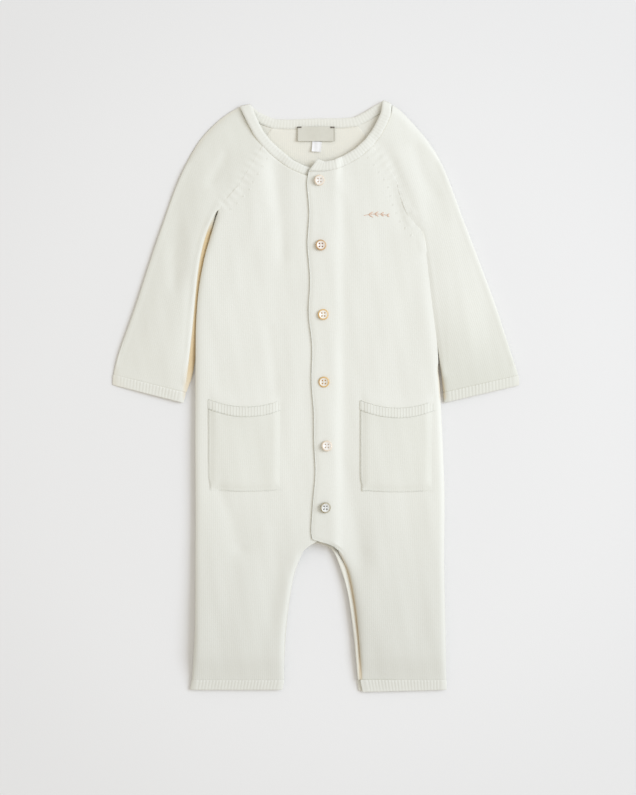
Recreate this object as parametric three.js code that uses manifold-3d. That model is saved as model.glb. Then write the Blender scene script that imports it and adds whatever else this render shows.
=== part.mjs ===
import * as THREE from 'three';
import { mergeVertices } from 'three/addons/utils/BufferGeometryUtils.js';
import Module from 'manifold-3d';

// A long-sleeved baby romper with raglan sleeves, laid flat on its back with the front up.
// Millimetres, +Z up, +Y to the neck. Right and left are the wearer's: right is at -X.

// Driving sizes
const clothThick = 2.2; // one layer of the knit
const seamGap = 0.4; // between pieces that are sewn edge to edge
const neckGap = 0.7; // the same along the curved neck seam
const neckFoldGap = 0.6; // added to it where the band turns over
const layerGap = 0.6; // between pieces that lie on each other
const sideHeight = 3.2; // where the upper and the lower layer meet in a fold
const hemLoft = 5.2; // top of the bands, and of the cloth where it meets them
const pocketBandDepth = 8;
const ribHeight = 0.45;
const hemRibPitch = 3.0;
const cuffRibPitch = 3.1;
const neckRibPitch = 2.9;
const pocketRibPitch = 2.75;
const bodyFoldRadius = 6; // plan width of the rounding at the body's sides
const sleeveFoldRadius = 5;
const openEdgeRadius = 9; // where the loose inseam edge slopes down to the back
const underlapEdge = 12; // how far the right front reaches under the left one
const lapFrom = 19; // the left front comes down from here
const lapTo = 25;

// Height of the upper surface over the floor along the body and along a sleeve
const bodyLoft = [
  { y: 275, height: 6.8 },
  { y: 215, height: 7.4 },
  { y: 120, height: 7.9 },
  { y: -60, height: 7.8 },
  { y: -200, height: 8.2 },
  { y: -236, height: 8.0 },
  { y: -250, height: 6.6 },
  { y: -260, height: hemLoft },
];
const sleeveLoft = [
  { y: 150, height: 7.9 },
  { y: 60, height: 7.8 },
  { y: 34, height: 7.6 },
  { y: 16, height: 6.6 },
  { y: 3.2, height: hemLoft },
];
const cuffLine = { x: 119.4, y: 3.2, slope: 0.25 }; // the slanting seam above each cuff

// Soft folds: three points of its line, half width and rise (ridge) or fall (trough)
const folds = [
  { x1: -37, y1: 212, x2: -29, y2: 150, x3: -42, y3: 62, width: 8, rise: -1.6 },
  { x1: -49, y1: 203, x2: -43, y2: 160, x3: -38, y3: 112, width: 9, rise: 1.2 },
  { x1: -92, y1: 52, x2: -91, y2: 25, x3: -90, y3: -3, width: 6, rise: -1.2 },
  { x1: -98, y1: 62, x2: -98, y2: 30, x3: -97, y3: -4, width: 5, rise: 0.8 },
  { x1: -37, y1: 34, x2: -36, y2: 15, x3: -34, y3: -3, width: 5, rise: -1.1 },
  { x1: -88, y1: -84, x2: -79, y2: -108, x3: -69, y3: -136, width: 8, rise: -1.4 },
  { x1: -33, y1: -150, x2: -37, y2: -190, x3: -42, y3: -223, width: 10, rise: -1.0 },
  { x1: 26, y1: 50, x2: 27, y2: 0, x3: 27, y3: -60, width: 6, rise: -0.9 },
  { x1: 26, y1: -68, x2: 32, y2: -104, x3: 41, y3: -150, width: 8, rise: -1.4 },
  { x1: 43, y1: -177, x2: 52, y2: -205, x3: 64, y3: -232, width: 9, rise: 0.9 },
  { x1: 59, y1: 230, x2: 73, y2: 200, x3: 81, y3: 160, width: 6, rise: -1.6 },
  { x1: 74, y1: 219, x2: 86, y2: 184, x3: 96, y3: 152, width: 7, rise: 1.1 },
  { x1: 96, y1: 244, x2: 98, y2: 230, x3: 100, y3: 216, width: 5, rise: -1.1 },
  { x1: -130, y1: 182, x2: -131, y2: 145, x3: -130, y3: 107, width: 7, rise: -1.5 },
  { x1: -107, y1: 188, x2: -113, y2: 145, x3: -118, y3: 105, width: 8, rise: 0.9 },
  { x1: -90, y1: 176, x2: -93, y2: 190, x3: -86, y3: 212, width: 5, rise: -1.9 },
];

// Neckband stations from the hidden right front end, round the back, to the left front end:
// free edge, seam edge, and how far the band has turned over (0 faces up, 180 faces down)
const neckStations = [
  { freeX: 11.5, freeY: 208.6, seamX: 12, seamY: 200.6, turned: 0 },
  { freeX: 2, freeY: 208.2, seamX: 2, seamY: 200.2, turned: 0 },
  { freeX: -9, freeY: 210.2, seamX: -11, seamY: 203, turned: 0 },
  { freeX: -20.6, freeY: 216, seamX: -24.5, seamY: 209, turned: 0 },
  { freeX: -31.6, freeY: 224.7, seamX: -37, seamY: 218.4, turned: 0 },
  { freeX: -41.6, freeY: 233.9, seamX: -48, seamY: 228.6, turned: 0 },
  { freeX: -48.5, freeY: 243, seamX: -56, seamY: 239.2, turned: 0 },
  { freeX: -54.5, freeY: 254.9, seamX: -62.6, seamY: 252, turned: 0 },
  { freeX: -57.8, freeY: 262.6, seamX: -66.6, seamY: 260.6, turned: 35 },
  { freeX: -59.8, freeY: 267.5, seamX: -68.8, seamY: 265.8, turned: 90 },
  { freeX: -57.2, freeY: 264.4, seamX: -65.4, seamY: 261.6, turned: 150 },
  { freeX: -52.6, freeY: 260.4, seamX: -57.6, seamY: 254.2, turned: 180 },
  { freeX: -45.3, freeY: 256.7, seamX: -48.8, seamY: 249.4, turned: 180 },
  { freeX: -37.5, freeY: 253.8, seamX: -39.5, seamY: 246, turned: 180 },
  { freeX: -24, freeY: 253.3, seamX: -24.4, seamY: 245.3, turned: 180 },
  { freeX: 1.4, freeY: 254.4, seamX: 1.4, seamY: 246.3, turned: 180 },
  { freeX: 24, freeY: 254.5, seamX: 24.4, seamY: 246.4, turned: 180 },
  { freeX: 35.5, freeY: 255.6, seamX: 38.5, seamY: 248, turned: 180 },
  { freeX: 45, freeY: 260.3, seamX: 49.6, seamY: 253.8, turned: 180 },
  { freeX: 54, freeY: 265.9, seamX: 59, seamY: 259.6, turned: 180 },
  { freeX: 59.4, freeY: 269, seamX: 66, seamY: 264.8, turned: 150 },
  { freeX: 62.2, freeY: 271, seamX: 69.4, seamY: 268, turned: 90 },
  { freeX: 61.4, freeY: 265.5, seamX: 69, seamY: 262, turned: 35 },
  { freeX: 60.4, freeY: 260.2, seamX: 68, seamY: 257, turned: 0 },
  { freeX: 57.2, freeY: 252.6, seamX: 64.8, seamY: 249, turned: 0 },
  { freeX: 52.2, freeY: 243.4, seamX: 59, seamY: 238.6, turned: 0 },
  { freeX: 45.6, freeY: 234.6, seamX: 51.4, seamY: 228.8, turned: 0 },
  { freeX: 36.2, freeY: 226, seamX: 40.8, seamY: 219.4, turned: 0 },
  { freeX: 26.1, freeY: 220, seamX: 29, seamY: 212.5, turned: 0 },
  { freeX: 17, freeY: 215.7, seamX: 18.4, seamY: 207.9, turned: 0 },
  { freeX: 9, freeY: 214.2, seamX: 8.4, seamY: 206.2, turned: 0 },
  { freeX: 2.6, freeY: 216.6, seamX: -5.6, seamY: 206.2, turned: 0 },
];
// Where along the band each piece is sewn on, as station numbers
const seamSpans = {
  rightFront: [5, 0],
  rightSleeveFront: [5, 9],
  rightSleeveBack: [13, 9],
  back: [13, 17],
  leftSleeveBack: [17, 21],
  leftSleeveFront: [26, 21],
  leftFront: [26, 31],
};
const ribbedFrom = 2; // the stretch under the flap stays smooth

// Edges of the body, each a line of points from the neck down
const rightSide = [
  { x: -48, y: 228.6 },
  { x: -60.5, y: 207.5 },
  { x: -69.5, y: 192 },
  { x: -79, y: 181 },
  { x: -88.3, y: 172.5 },
  { x: -95.2, y: 149.7 },
  { x: -100.6, y: 131 },
  { x: -105.7, y: 103 },
  { x: -108.4, y: 72 },
  { x: -108.8, y: 5 },
  { x: -108.4, y: -150 },
  { x: -110.2, y: -220 },
  { x: -113, y: -259.5 },
];
const leftSide = [
  { x: 51.4, y: 228.8 },
  { x: 63, y: 213.8 },
  { x: 73.7, y: 198.2 },
  { x: 80.1, y: 177.3 },
  { x: 86, y: 162.5 },
  { x: 96.3, y: 150 },
  { x: 99.6, y: 135 },
  { x: 102.1, y: 112 },
  { x: 105.9, y: 77 },
  { x: 111.2, y: 36 },
  { x: 114, y: 8 },
  { x: 116.3, y: -39 },
  { x: 118.2, y: -90 },
  { x: 117.6, y: -150 },
  { x: 119.8, y: -259.5 },
];
const rightBackRaglan = [
  { x: -39.5, y: 246 },
  { x: -57, y: 222 },
  { x: -67, y: 203 },
  { x: -77.5, y: 186 },
  { x: -88.3, y: 172.5 },
];
const leftBackRaglan = [
  { x: 38.5, y: 248 },
  { x: 57, y: 223 },
  { x: 68, y: 205 },
  { x: 78, y: 182 },
  { x: 96.3, y: 150 },
];
const underlap = [
  { x: 12, y: 200 },
  { x: underlapEdge, y: 180 },
  { x: underlapEdge, y: -122 },
  { x: 8, y: -129 },
  { x: -6, y: -136 },
  { x: -11.4, y: -141.4 },
  { x: -14.4, y: -148.7 },
  { x: -19.4, y: -160.6 },
  { x: -22, y: -174 },
  { x: -25.2, y: -193.6 },
  { x: -27.9, y: -216 },
  { x: -28.8, y: -240 },
  { x: -28.8, y: -259.5 },
];
// The lapping edge swells out at each button, then runs round the crotch and down the open inseam
const lappedEdge = [
  { x: -5.6, y: 206.2 },
  { x: -7.8, y: 196 },
  { x: -5.1, y: 168 },
  { x: -7.4, y: 139 },
  { x: -4.2, y: 106 },
  { x: -6.5, y: 76 },
  { x: -2.4, y: 46 },
  { x: -3.8, y: 14 },
  { x: -0.8, y: -18 },
  { x: -1.5, y: -45 },
  { x: 0.9, y: -66 },
  { x: -2.4, y: -100 },
  { x: -4, y: -125 },
  { x: -2.4, y: -130.4 },
  { x: 4, y: -132.4 },
  { x: 13.8, y: -135 },
  { x: 22, y: -138.8 },
  { x: 26.6, y: -145 },
  { x: 29.7, y: -158 },
  { x: 33.4, y: -174.4 },
  { x: 37.1, y: -196.3 },
  { x: 39.8, y: -229 },
  { x: 41.3, y: -259.5 },
];
const backInseam = [
  { x: 10, y: -136.5 },
  { x: 16.9, y: -141 },
  { x: 20.6, y: -150.6 },
  { x: 26.6, y: -167 },
  { x: 30.2, y: -181 },
  { x: 33.6, y: -205 },
  { x: 37.1, y: -239 },
  { x: 38.9, y: -259.5 },
];

// Rows of each body panel: where the row starts on the side and ends on the opening
const rightFrontRows = [
  { side: 218, opening: 189 },
  { side: 207.5, opening: 180 },
  { side: 199, opening: 172 },
  { side: 190, opening: 164 },
  { side: 181, opening: 155 },
  { side: 172.5, opening: 146 },
  { side: 161, opening: 138 },
  { side: 149.7, opening: 130 },
  { side: 131, opening: 118 },
  { side: 116, opening: 106 },
  { side: 101, opening: 94 },
  { side: 84, opening: 80 },
  { side: 66, opening: 64 },
  { side: 48, opening: 47 },
  { side: 30, opening: 30 },
  { side: 12, opening: 12 },
  { side: -6, opening: -6 },
  { side: -28, opening: -28 },
  { side: -56, opening: -56 },
  { side: -80, opening: -80 },
  { side: -98, opening: -98 },
  { side: -114, opening: -112 },
  { side: -126, opening: -122 },
  { side: -134, opening: -129 },
  { side: -141, opening: -136 },
  { side: -147, opening: -141.4 },
  { side: -154, opening: -148.7 },
  { side: -164, opening: -160.6 },
  { side: -176, opening: -174 },
  { side: -194, opening: -193.6 },
  { side: -216, opening: -216 },
  { side: -232, opening: -232 },
  { side: -244, opening: -244 },
  { side: -252, opening: -252 },
  { side: -259.5, opening: -259.5 },
];
const leftFrontRows = [
  { side: 221, opening: 201 },
  { side: 213.8, opening: 196 },
  { side: 206, opening: 187 },
  { side: 198.2, opening: 178 },
  { side: 188, opening: 168 },
  { side: 177.3, opening: 158 },
  { side: 162.5, opening: 148 },
  { side: 150, opening: 139 },
  { side: 135, opening: 127 },
  { side: 112, opening: 106 },
  { side: 94, opening: 90 },
  { side: 77, opening: 76 },
  { side: 60, opening: 61 },
  { side: 46, opening: 46 },
  { side: 30, opening: 30 },
  { side: 14, opening: 14 },
  { side: -3, opening: -3 },
  { side: -18, opening: -18 },
  { side: -45, opening: -45 },
  { side: -66, opening: -66 },
  { side: -84, opening: -83 },
  { side: -100, opening: -100 },
  { side: -114, opening: -113 },
  { side: -127, opening: -125 },
  { side: -132, opening: -130.4 },
  { side: -136, opening: -132.4 },
  { side: -141, opening: -135 },
  { side: -147, opening: -138.8 },
  { side: -153, opening: -145 },
  { side: -163, opening: -158 },
  { side: -177, opening: -174.4 },
  { side: -197, opening: -196.3 },
  { side: -216, opening: -216 },
  { side: -232, opening: -232 },
  { side: -244, opening: -244 },
  { side: -252, opening: -252 },
  { side: -259.5, opening: -259.5 },
];
// Rows of the back above the crotch, right and left end, then rows of its two legs
const backRows = [
  { right: 236, left: 237 },
  { right: 222, left: 223 },
  { right: 203, left: 205 },
  { right: 186, left: 182 },
  { right: 172.5, left: 166 },
  { right: 160, left: 150 },
  { right: 131, left: 135 },
  { right: 103, left: 112 },
  { right: 72, left: 77 },
  { right: 36, left: 36 },
  { right: 5, left: 8 },
  { right: -39, left: -39 },
  { right: -90, left: -90 },
  { right: -120, left: -120 },
];
const backLegRows = [
  { side: -136, rightLeg: -136, leftLeg: -136.5 },
  { side: -144, rightLeg: -141.4, leftLeg: -141 },
  { side: -152, rightLeg: -148.7, leftLeg: -150.6 },
  { side: -165, rightLeg: -160.6, leftLeg: -167 },
  { side: -180, rightLeg: -176, leftLeg: -181 },
  { side: -205, rightLeg: -205, leftLeg: -205 },
  { side: -239, rightLeg: -239, leftLeg: -239 },
  { side: -259.5, rightLeg: -259.5, leftLeg: -259.5 },
];
const crotchHeight = -133.6; // the back's edge between the legs

// Sleeve rows below the neck seam: inner edge, outer fold, and the inner edge of the lower layer
const rightSleeveRows = [
  { x: -54.6, y: 217.6, foldX: -79.2, foldY: 260.4, backX: -50.8, backY: 231.8 },
  { x: -61, y: 207.6, foldX: -91.1, foldY: 251.2, backX: -57.5, backY: 222 },
  { x: -70, y: 192.2, foldX: -103, foldY: 238.9, backX: -67.5, backY: 203 },
  { x: -79.5, y: 181.3, foldX: -111.6, foldY: 226.5, backX: -78, backY: 186.2 },
  { x: -88.8, y: 173, foldX: -119.4, foldY: 211.9, backX: -88.8, backY: 173 },
  { x: -94.4, y: 161.5, foldX: -126.2, foldY: 197.2, backX: -94.4, backY: 161.5 },
  { x: -99, y: 150, foldX: -133.4, foldY: 178.5, backX: -99, backY: 150 },
  { x: -103, y: 137, foldX: -139.6, foldY: 159.7, backX: -103, backY: 137 },
  { x: -106.4, y: 120, foldX: -146.4, foldY: 141, backX: -106.4, backY: 120 },
  { x: -108.6, y: 102, foldX: -152.6, foldY: 122, backX: -108.6, backY: 102 },
  { x: -110.2, y: 84, foldX: -159.4, foldY: 101, backX: -110.2, backY: 84 },
  { x: -111.8, y: 66, foldX: -166, foldY: 80.6, backX: -111.8, backY: 66 },
  { x: -114, y: 46, foldX: -173.4, foldY: 60, backX: -114, backY: 46 },
  { x: -116, y: 28, foldX: -179.9, foldY: 42, backX: -116, backY: 28 },
  { x: -117.8, y: 14, foldX: -183.4, foldY: 29.6, backX: -117.8, backY: 14 },
  { x: -119, y: 3.8, foldX: -185, foldY: 20.2, backX: -119, backY: 3.8 },
];
const leftSleeveRows = [
  { x: 57.7, y: 221, foldX: 78, foldY: 262.2, backX: 49.5, backY: 234 },
  { x: 63.6, y: 214.1, foldX: 87, foldY: 252.6, backX: 57.6, backY: 223.2 },
  { x: 69.2, y: 206.5, foldX: 95.7, foldY: 243, backX: 63.4, backY: 214 },
  { x: 74.3, y: 198.4, foldX: 104.4, foldY: 232.4, backX: 68.7, backY: 205.2 },
  { x: 80.7, y: 177.5, foldX: 116.2, foldY: 213.7, backX: 78.6, backY: 182.2 },
  { x: 86.4, y: 162.9, foldX: 124, foldY: 193.6, backX: 87, backY: 166.8 },
  { x: 97, y: 150.5, foldX: 133.2, foldY: 168, backX: 97, backY: 150.5 },
  { x: 101.2, y: 135.3, foldX: 140.3, foldY: 149.7, backX: 101.2, backY: 135.3 },
  { x: 104, y: 112, foldX: 148.7, foldY: 127.7, backX: 104, backY: 112 },
  { x: 106.2, y: 94, foldX: 156.2, foldY: 107.5, backX: 106.2, backY: 94 },
  { x: 108.2, y: 77, foldX: 164.4, foldY: 86, backX: 108.2, backY: 77 },
  { x: 110.6, y: 58, foldX: 171.4, foldY: 64.6, backX: 110.6, backY: 58 },
  { x: 113.2, y: 38, foldX: 177.2, foldY: 46, backX: 113.2, backY: 38 },
  { x: 115.4, y: 20, foldX: 182.4, foldY: 30.4, backX: 115.4, backY: 20 },
  { x: 117.4, y: 4, foldX: 185.6, foldY: 19.6, backX: 117.4, backY: 4 },
];
const closedFromRow = { right: 5, left: 7 }; // the sleeve is a closed tube from the underarm down
const underarmFade = 24; // the sides start to fold down this far above the underarm
const sleeveJoin = { from: 120, depth: 50 }; // over this height a sleeve takes the body's loft
const inseamFrom = { y: -134, depth: 18 }; // below this the inseam edges fold down

// Cuffs: inner end and outer fold of the seam edge, then of the free edge
const cuffs = {
  cuff_right: [
    { x: -119.2, y: 3.2, foldX: -185.3, foldY: 19.6 },
    { x: -121.2, y: -5.4, foldX: -185.8, foldY: 11.2 },
  ],
  cuff_left: [
    { x: 117.6, y: 3.4, foldX: 185.9, foldY: 19 },
    { x: 118.2, y: -5.2, foldX: 186.3, foldY: 10.8 },
  ],
};

// Leg hems in the same way. The left one is open at the inseam, its upper and lower ends apart.
const hems = {
  hem_right: {
    open: false,
    rows: [
      { x: -28.8, y: -259.9, lowerX: -28.8, lowerY: -259.9, foldX: -113, foldY: -259.9 },
      { x: -30.6, y: -268.3, lowerX: -30.6, lowerY: -268.3, foldX: -114.6, foldY: -268.3 },
    ],
  },
  hem_left: {
    open: true,
    rows: [
      { x: 41.4, y: -259.9, lowerX: 38.9, lowerY: -259.9, foldX: 119.8, foldY: -259.9 },
      { x: 43.6, y: -270.3, lowerX: 40, lowerY: -269.3, foldX: 119.9, foldY: -268.3 },
    ],
  },
};

// Patch pockets: middle, half width, mouth and bottom heights, sag of the mouth
const pockets = {
  right: { x: -63.3, halfWidth: 34.2, top: -3, bottom: -85, sag: 7 },
  left: { x: 75.4, halfWidth: 34, top: -4, bottom: -85.5, sag: 7 },
};
const pocketCorner = { radius: 6, inset: 4.2 }; // the bottom corners are rounded and drawn in
const pocketBottomSag = 1.5;
const mouthLift = { rise: 1.3, depth: 12 }; // the mouth gapes a little at its middle

// Buttons from the neck down, with the way each one leans, in degrees
const buttons = [
  { x: 3.2, y: 197.6, leanX: 5, leanY: -10 },
  { x: 4.7, y: 138.1, leanX: 2, leanY: 4 },
  { x: 6.9, y: 74.8, leanX: -2, leanY: 6 },
  { x: 7.8, y: 13.3, leanX: 4, leanY: -8 },
  { x: 10.1, y: -45.3, leanX: -6, leanY: 14 },
  { x: 8.7, y: -101.4, leanX: 3, leanY: 5 },
];
const buttonRadius = 5;
const buttonHoleRadius = 0.75;
const buttonHoleOffset = 1.15; // holes lie on a square, this far from its middle lines
const buttonSides = 14;
const buttonClear = 0.35; // between a button's back and the cloth
const buttonProfile = [
  { radius: 0, height: 0 },
  { radius: 4.2, height: 0 },
  { radius: buttonRadius, height: 0.7 },
  { radius: buttonRadius, height: 1.5 },
  { radius: 4.3, height: 2.2 },
  { radius: 3.5, height: 2.2 },
  { radius: 2.9, height: 1.6 },
  { radius: 0, height: 1.6 },
];

// Woven labels inside the back of the neck, both bare
const labels = {
  neck_label: { x: 0.6, y: 240.6, width: 34, depth: 13.4, lean: 0, height: clothThick + 0.9 },
  size_tab: { x: 1, y: 228.7, width: 8.6, depth: 9.4, lean: -4, height: clothThick + 0.4 },
};
const labelThick = 0.7;

// Colours
const ivory = { color: 0xf4f2e6, roughness: 0.95, metalness: 0 };
const ivoryBand = { color: 0xf2f0e2, roughness: 0.95, metalness: 0 };
const pearl = { color: 0xe9e0cb, roughness: 0.3, metalness: 0 };
const labelCloth = { color: 0xdad8cc, roughness: 0.8, metalness: 0 };

const romper = new THREE.Group();

function addPiece(name, geometry, finish) {
  const mesh = new THREE.Mesh(geometry, new THREE.MeshStandardMaterial(finish));
  mesh.name = name;
  romper.add(mesh);
  return mesh;
}

const mix = THREE.MathUtils.lerp;
const clamp01 = (value) => THREE.MathUtils.clamp(value, 0, 1);
const eased = (value) => THREE.MathUtils.smoothstep(value, 0, 1);
const degrees = THREE.MathUtils.degToRad;

// A column of a table at height y, straight between its rows, which run downwards
function readAt(table, y, column) {
  let k = 0;
  while (k < table.length - 2 && table[k + 1].y > y) k += 1;
  const a = table[k];
  const b = table[k + 1];
  return mix(a[column], b[column], clamp01((a.y - y) / (a.y - b.y)));
}

const onEdge = (table, y) => new THREE.Vector2(readAt(table, y, 'x'), y);

function distanceToSegment(x, y, ax, ay, bx, by) {
  const squared = (bx - ax) ** 2 + (by - ay) ** 2;
  const along = clamp01(((x - ax) * (bx - ax) + (y - ay) * (by - ay)) / squared);
  return Math.hypot(x - mix(ax, bx, along), y - mix(ay, by, along));
}

function foldHeight(x, y) {
  return folds.reduce((sum, f) => {
    const near = Math.min(
      distanceToSegment(x, y, f.x1, f.y1, f.x2, f.y2),
      distanceToSegment(x, y, f.x2, f.y2, f.x3, f.y3),
    );
    return sum + f.rise * Math.exp(-((near / f.width) ** 2));
  }, 0);
}

const bodyTop = (x, y) => readAt(bodyLoft, y, 'height') + foldHeight(x, y);

// A sleeve follows the body at the raglan seams and sinks to its cuff
function sleeveTop(x, y) {
  const aboveCuff = y - cuffLine.slope * (Math.abs(x) - cuffLine.x);
  const own = readAt(sleeveLoft, aboveCuff, 'height');
  const joined = eased((y - sleeveJoin.from) / sleeveJoin.depth);
  return mix(own, readAt(bodyLoft, y, 'height'), joined) + foldHeight(x, y);
}

// The left front rises over the hidden edge of the right one
const lapRise = (x) => (clothThick + layerGap) * eased((lapTo - x) / (lapTo - lapFrom));
const lappedTop = (x, y) => bodyTop(x, y) + lapRise(x);

// A span of the neck seam, moved off the band by the neck gap, as a line from 0 to 1
const neckLine = ([from, to], margin = 0) => (fraction) => {
  const at = mix(from, to, mix(margin, 1 - margin, fraction));
  const k = Math.min(Math.floor(at), neckStations.length - 2);
  const a = neckStations[k];
  const b = neckStations[k + 1];
  const seam = new THREE.Vector2(mix(a.seamX, b.seamX, at - k), mix(a.seamY, b.seamY, at - k));
  const free = new THREE.Vector2(mix(a.freeX, b.freeX, at - k), mix(a.freeY, b.freeY, at - k));
  const turned = degrees(mix(a.turned, b.turned, at - k));
  return seam.clone().add(seam.clone().sub(free).setLength(neckGap + neckFoldGap * Math.sin(turned)));
};

// Columns across a row: rounding steps at the start edge, even steps, rounding steps at the end edge
const turnSteps = [0, 32, 62].map(degrees);
function columnsAcross(width, [startRadius, endRadius, endStep = 0], middleSteps) {
  const columns = turnSteps.map((angle) => ({
    distance: startRadius * (1 - Math.cos(angle)),
    angle,
    edge: 'start',
  }));
  const evenTo = width - endRadius - endStep;
  for (let k = 0; k <= middleSteps; k += 1) {
    columns.push({ distance: mix(startRadius, evenTo, k / middleSteps), angle: Math.PI / 2, edge: 'none' });
  }
  if (endStep) columns.push({ distance: width - endRadius, angle: Math.PI / 2, edge: 'none' });
  turnSteps.toReversed().forEach((angle) => {
    columns.push({ distance: width - endRadius * (1 - Math.cos(angle)), angle, edge: 'end' });
  });
  return columns;
}

const plainEdge = { fold: 0, height: 0, roll: 0 };

// How far a seam line stands off the straight line between its ends
const bow = (line, fraction) => line(fraction).sub(line(0).lerp(line(1), fraction));

const seamRows = 5; // rows until the neck seam's curve has faded out
const neckShare = (row) => Math.max(0, 1 - row / seamRows);

// The wall's inner side stops where a folded side meets the other layer
function innerHeight(height, edge, faceDown) {
  if (!edge.roll) return height;
  return faceDown ? Math.min(height, edge.height) : Math.max(height, edge.height);
}

// One row of one layer. Near the neck a row keeps a share of the neck seam's curve and of its
// even spacing. An edge has fold (0 stays level, 1 comes to the edge height) and roll (1 turns
// the wall's thickness sideways there, as at a folded side).
function layerRow({ start, end, startEdge, endEdge, radii, middleSteps, top, faceDown, raise, seam }) {
  const width = start.distanceTo(end);
  const heading = end.clone().sub(start).normalize();
  return columnsAcross(width, radii, middleSteps).map((column, k, columns) => {
    const share = seam ? seam.share : 0;
    const fraction = mix(column.distance / width, k / (columns.length - 1), share);
    const place = start.clone().lerp(end, fraction);
    if (seam) place.addScaledVector(bow(seam.line, fraction), share);
    const edge = { start: startEdge, end: endEdge, none: plainEdge }[column.edge];
    const level = faceDown ? 0 : top(place.x, place.y);
    const lift = mix(1, Math.sin(column.angle), edge.fold);
    const sideways = edge.roll * edge.fold * Math.cos(column.angle);
    const upright = Math.sqrt(1 - sideways ** 2) * (faceDown ? -1 : 1);
    const lean = column.edge === 'start' ? 1 : -1;
    const height = edge.height + (level - edge.height) * lift;
    const raised = raise ? raise(k, column) : 0;
    return {
      out: new THREE.Vector3(place.x, place.y, height + raised),
      inside: new THREE.Vector3(
        place.x + heading.x * lean * sideways * clothThick,
        place.y + heading.y * lean * sideways * clothThick,
        innerHeight(height - upright * clothThick, edge, faceDown),
      ),
    };
  });
}

// A closed wall from rows of outer and inner points. A row that is closed meets itself; cells that
// are not kept are left open.
function wall(rows, { closed = () => false, kept = () => true } = {}) {
  const columns = rows[0].length;
  const positions = rows.flat().flatMap(({ out, inside }) => [...out, ...inside]);
  const faces = [];
  const corner = (i, j, inner) => 2 * (i * columns + (closed(i) && j === columns - 1 ? 0 : j)) + inner;
  const isCloth = (i, j) => i >= 0 && i < rows.length - 1 && j >= 0 && j < columns - 1 && kept(i, j);
  const quad = (a, b, c, d) => faces.push(a, b, c, a, c, d);
  for (let i = 0; i < rows.length - 1; i += 1) {
    const ring = closed(i) && closed(i + 1);
    for (let j = 0; j < columns - 1; j += 1) {
      if (!isCloth(i, j)) continue;
      const [a, b, c, d] = [[i, j], [i + 1, j], [i + 1, j + 1], [i, j + 1]];
      quad(corner(...a, 0), corner(...b, 0), corner(...c, 0), corner(...d, 0));
      quad(corner(...d, 1), corner(...c, 1), corner(...b, 1), corner(...a, 1));
      const sides = [
        [a, b, ring ? true : isCloth(i, j - 1)],
        [b, c, isCloth(i + 1, j)],
        [c, d, ring ? true : isCloth(i, j + 1)],
        [d, a, isCloth(i - 1, j)],
      ];
      sides.filter(([, , joined]) => !joined).forEach(([p, q]) => {
        quad(corner(...q, 0), corner(...p, 0), corner(...p, 1), corner(...q, 1));
      });
    }
  }
  return facingOut(positions, faces);
}

function facingOut(positions, faces) {
  const at = (k) => new THREE.Vector3().fromArray(positions, 3 * k);
  let volume = 0;
  for (let k = 0; k < faces.length; k += 3) {
    volume += at(faces[k]).dot(at(faces[k + 1]).cross(at(faces[k + 2])));
  }
  const geometry = new THREE.BufferGeometry();
  geometry.setAttribute('position', new THREE.Float32BufferAttribute(positions, 3));
  geometry.setIndex(volume < 0 ? faces.toReversed() : faces);
  geometry.computeVertexNormals();
  return geometry;
}

// How far a side has folded down at height y: not at the raglan seam, fully below the underarm
const sideFold = (y, underarm) => eased((underarm + underarmFade - y) / underarmFade);
const rightUnderarm = 172.5;
const leftUnderarm = 150;
const upperSeam = (fold) => ({ fold, height: sideHeight + seamGap / 2, roll: 1 });
const lowerSeam = (fold) => ({ fold, height: sideHeight - seamGap / 2, roll: 1 });
const tubeEdge = (fold) => ({ fold, height: sideHeight, roll: 1 });
const inseamFold = (y) => eased((inseamFrom.y - y) / inseamFrom.depth);
const looseEdge = (fold) => ({ fold, height: 2 * clothThick + layerGap, roll: 0 });

const panelSteps = 8;

function makeRightFront() {
  const frame = { radii: [bodyFoldRadius, bodyFoldRadius], middleSteps: panelSteps, top: bodyTop };
  const line = neckLine(seamSpans.rightFront);
  const neckRow = layerRow({
    ...frame,
    start: line(0),
    end: line(1),
    startEdge: plainEdge,
    endEdge: plainEdge,
    seam: { line, share: 1 },
  });
  const rows = rightFrontRows.map(({ side, opening }, k) => layerRow({
    ...frame,
    seam: { line, share: neckShare(k + 1) },
    start: onEdge(rightSide, side),
    end: onEdge(underlap, opening),
    startEdge: upperSeam(sideFold(side, rightUnderarm)),
    endEdge: upperSeam(inseamFold(opening)),
  }));
  return wall([neckRow, ...rows]);
}

function makeLeftFront() {
  const lapStep = lapTo - lapFrom;
  const frame = {
    radii: [bodyFoldRadius, openEdgeRadius, lapStep],
    middleSteps: panelSteps - 1,
    top: lappedTop,
  };
  const line = neckLine(seamSpans.leftFront);
  const neckRow = layerRow({
    ...frame,
    start: line(0),
    end: line(1),
    startEdge: plainEdge,
    endEdge: plainEdge,
    seam: { line, share: 1 },
  });
  const rows = leftFrontRows.map(({ side, opening }, k) => {
    const end = onEdge(lappedEdge, opening);
    const fold = inseamFold(opening);
    return layerRow({
      ...frame,
      seam: { line, share: neckShare(k + 1) },
      radii: [bodyFoldRadius, Math.max(mix(lapFrom - end.x, openEdgeRadius, fold), lapStep), lapStep],
      start: onEdge(leftSide, side),
      end,
      startEdge: upperSeam(sideFold(side, leftUnderarm)),
      endEdge: looseEdge(fold),
    });
  });
  return wall([neckRow, ...rows]);
}

const legSteps = 3;
const crotchSteps = 2;

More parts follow.
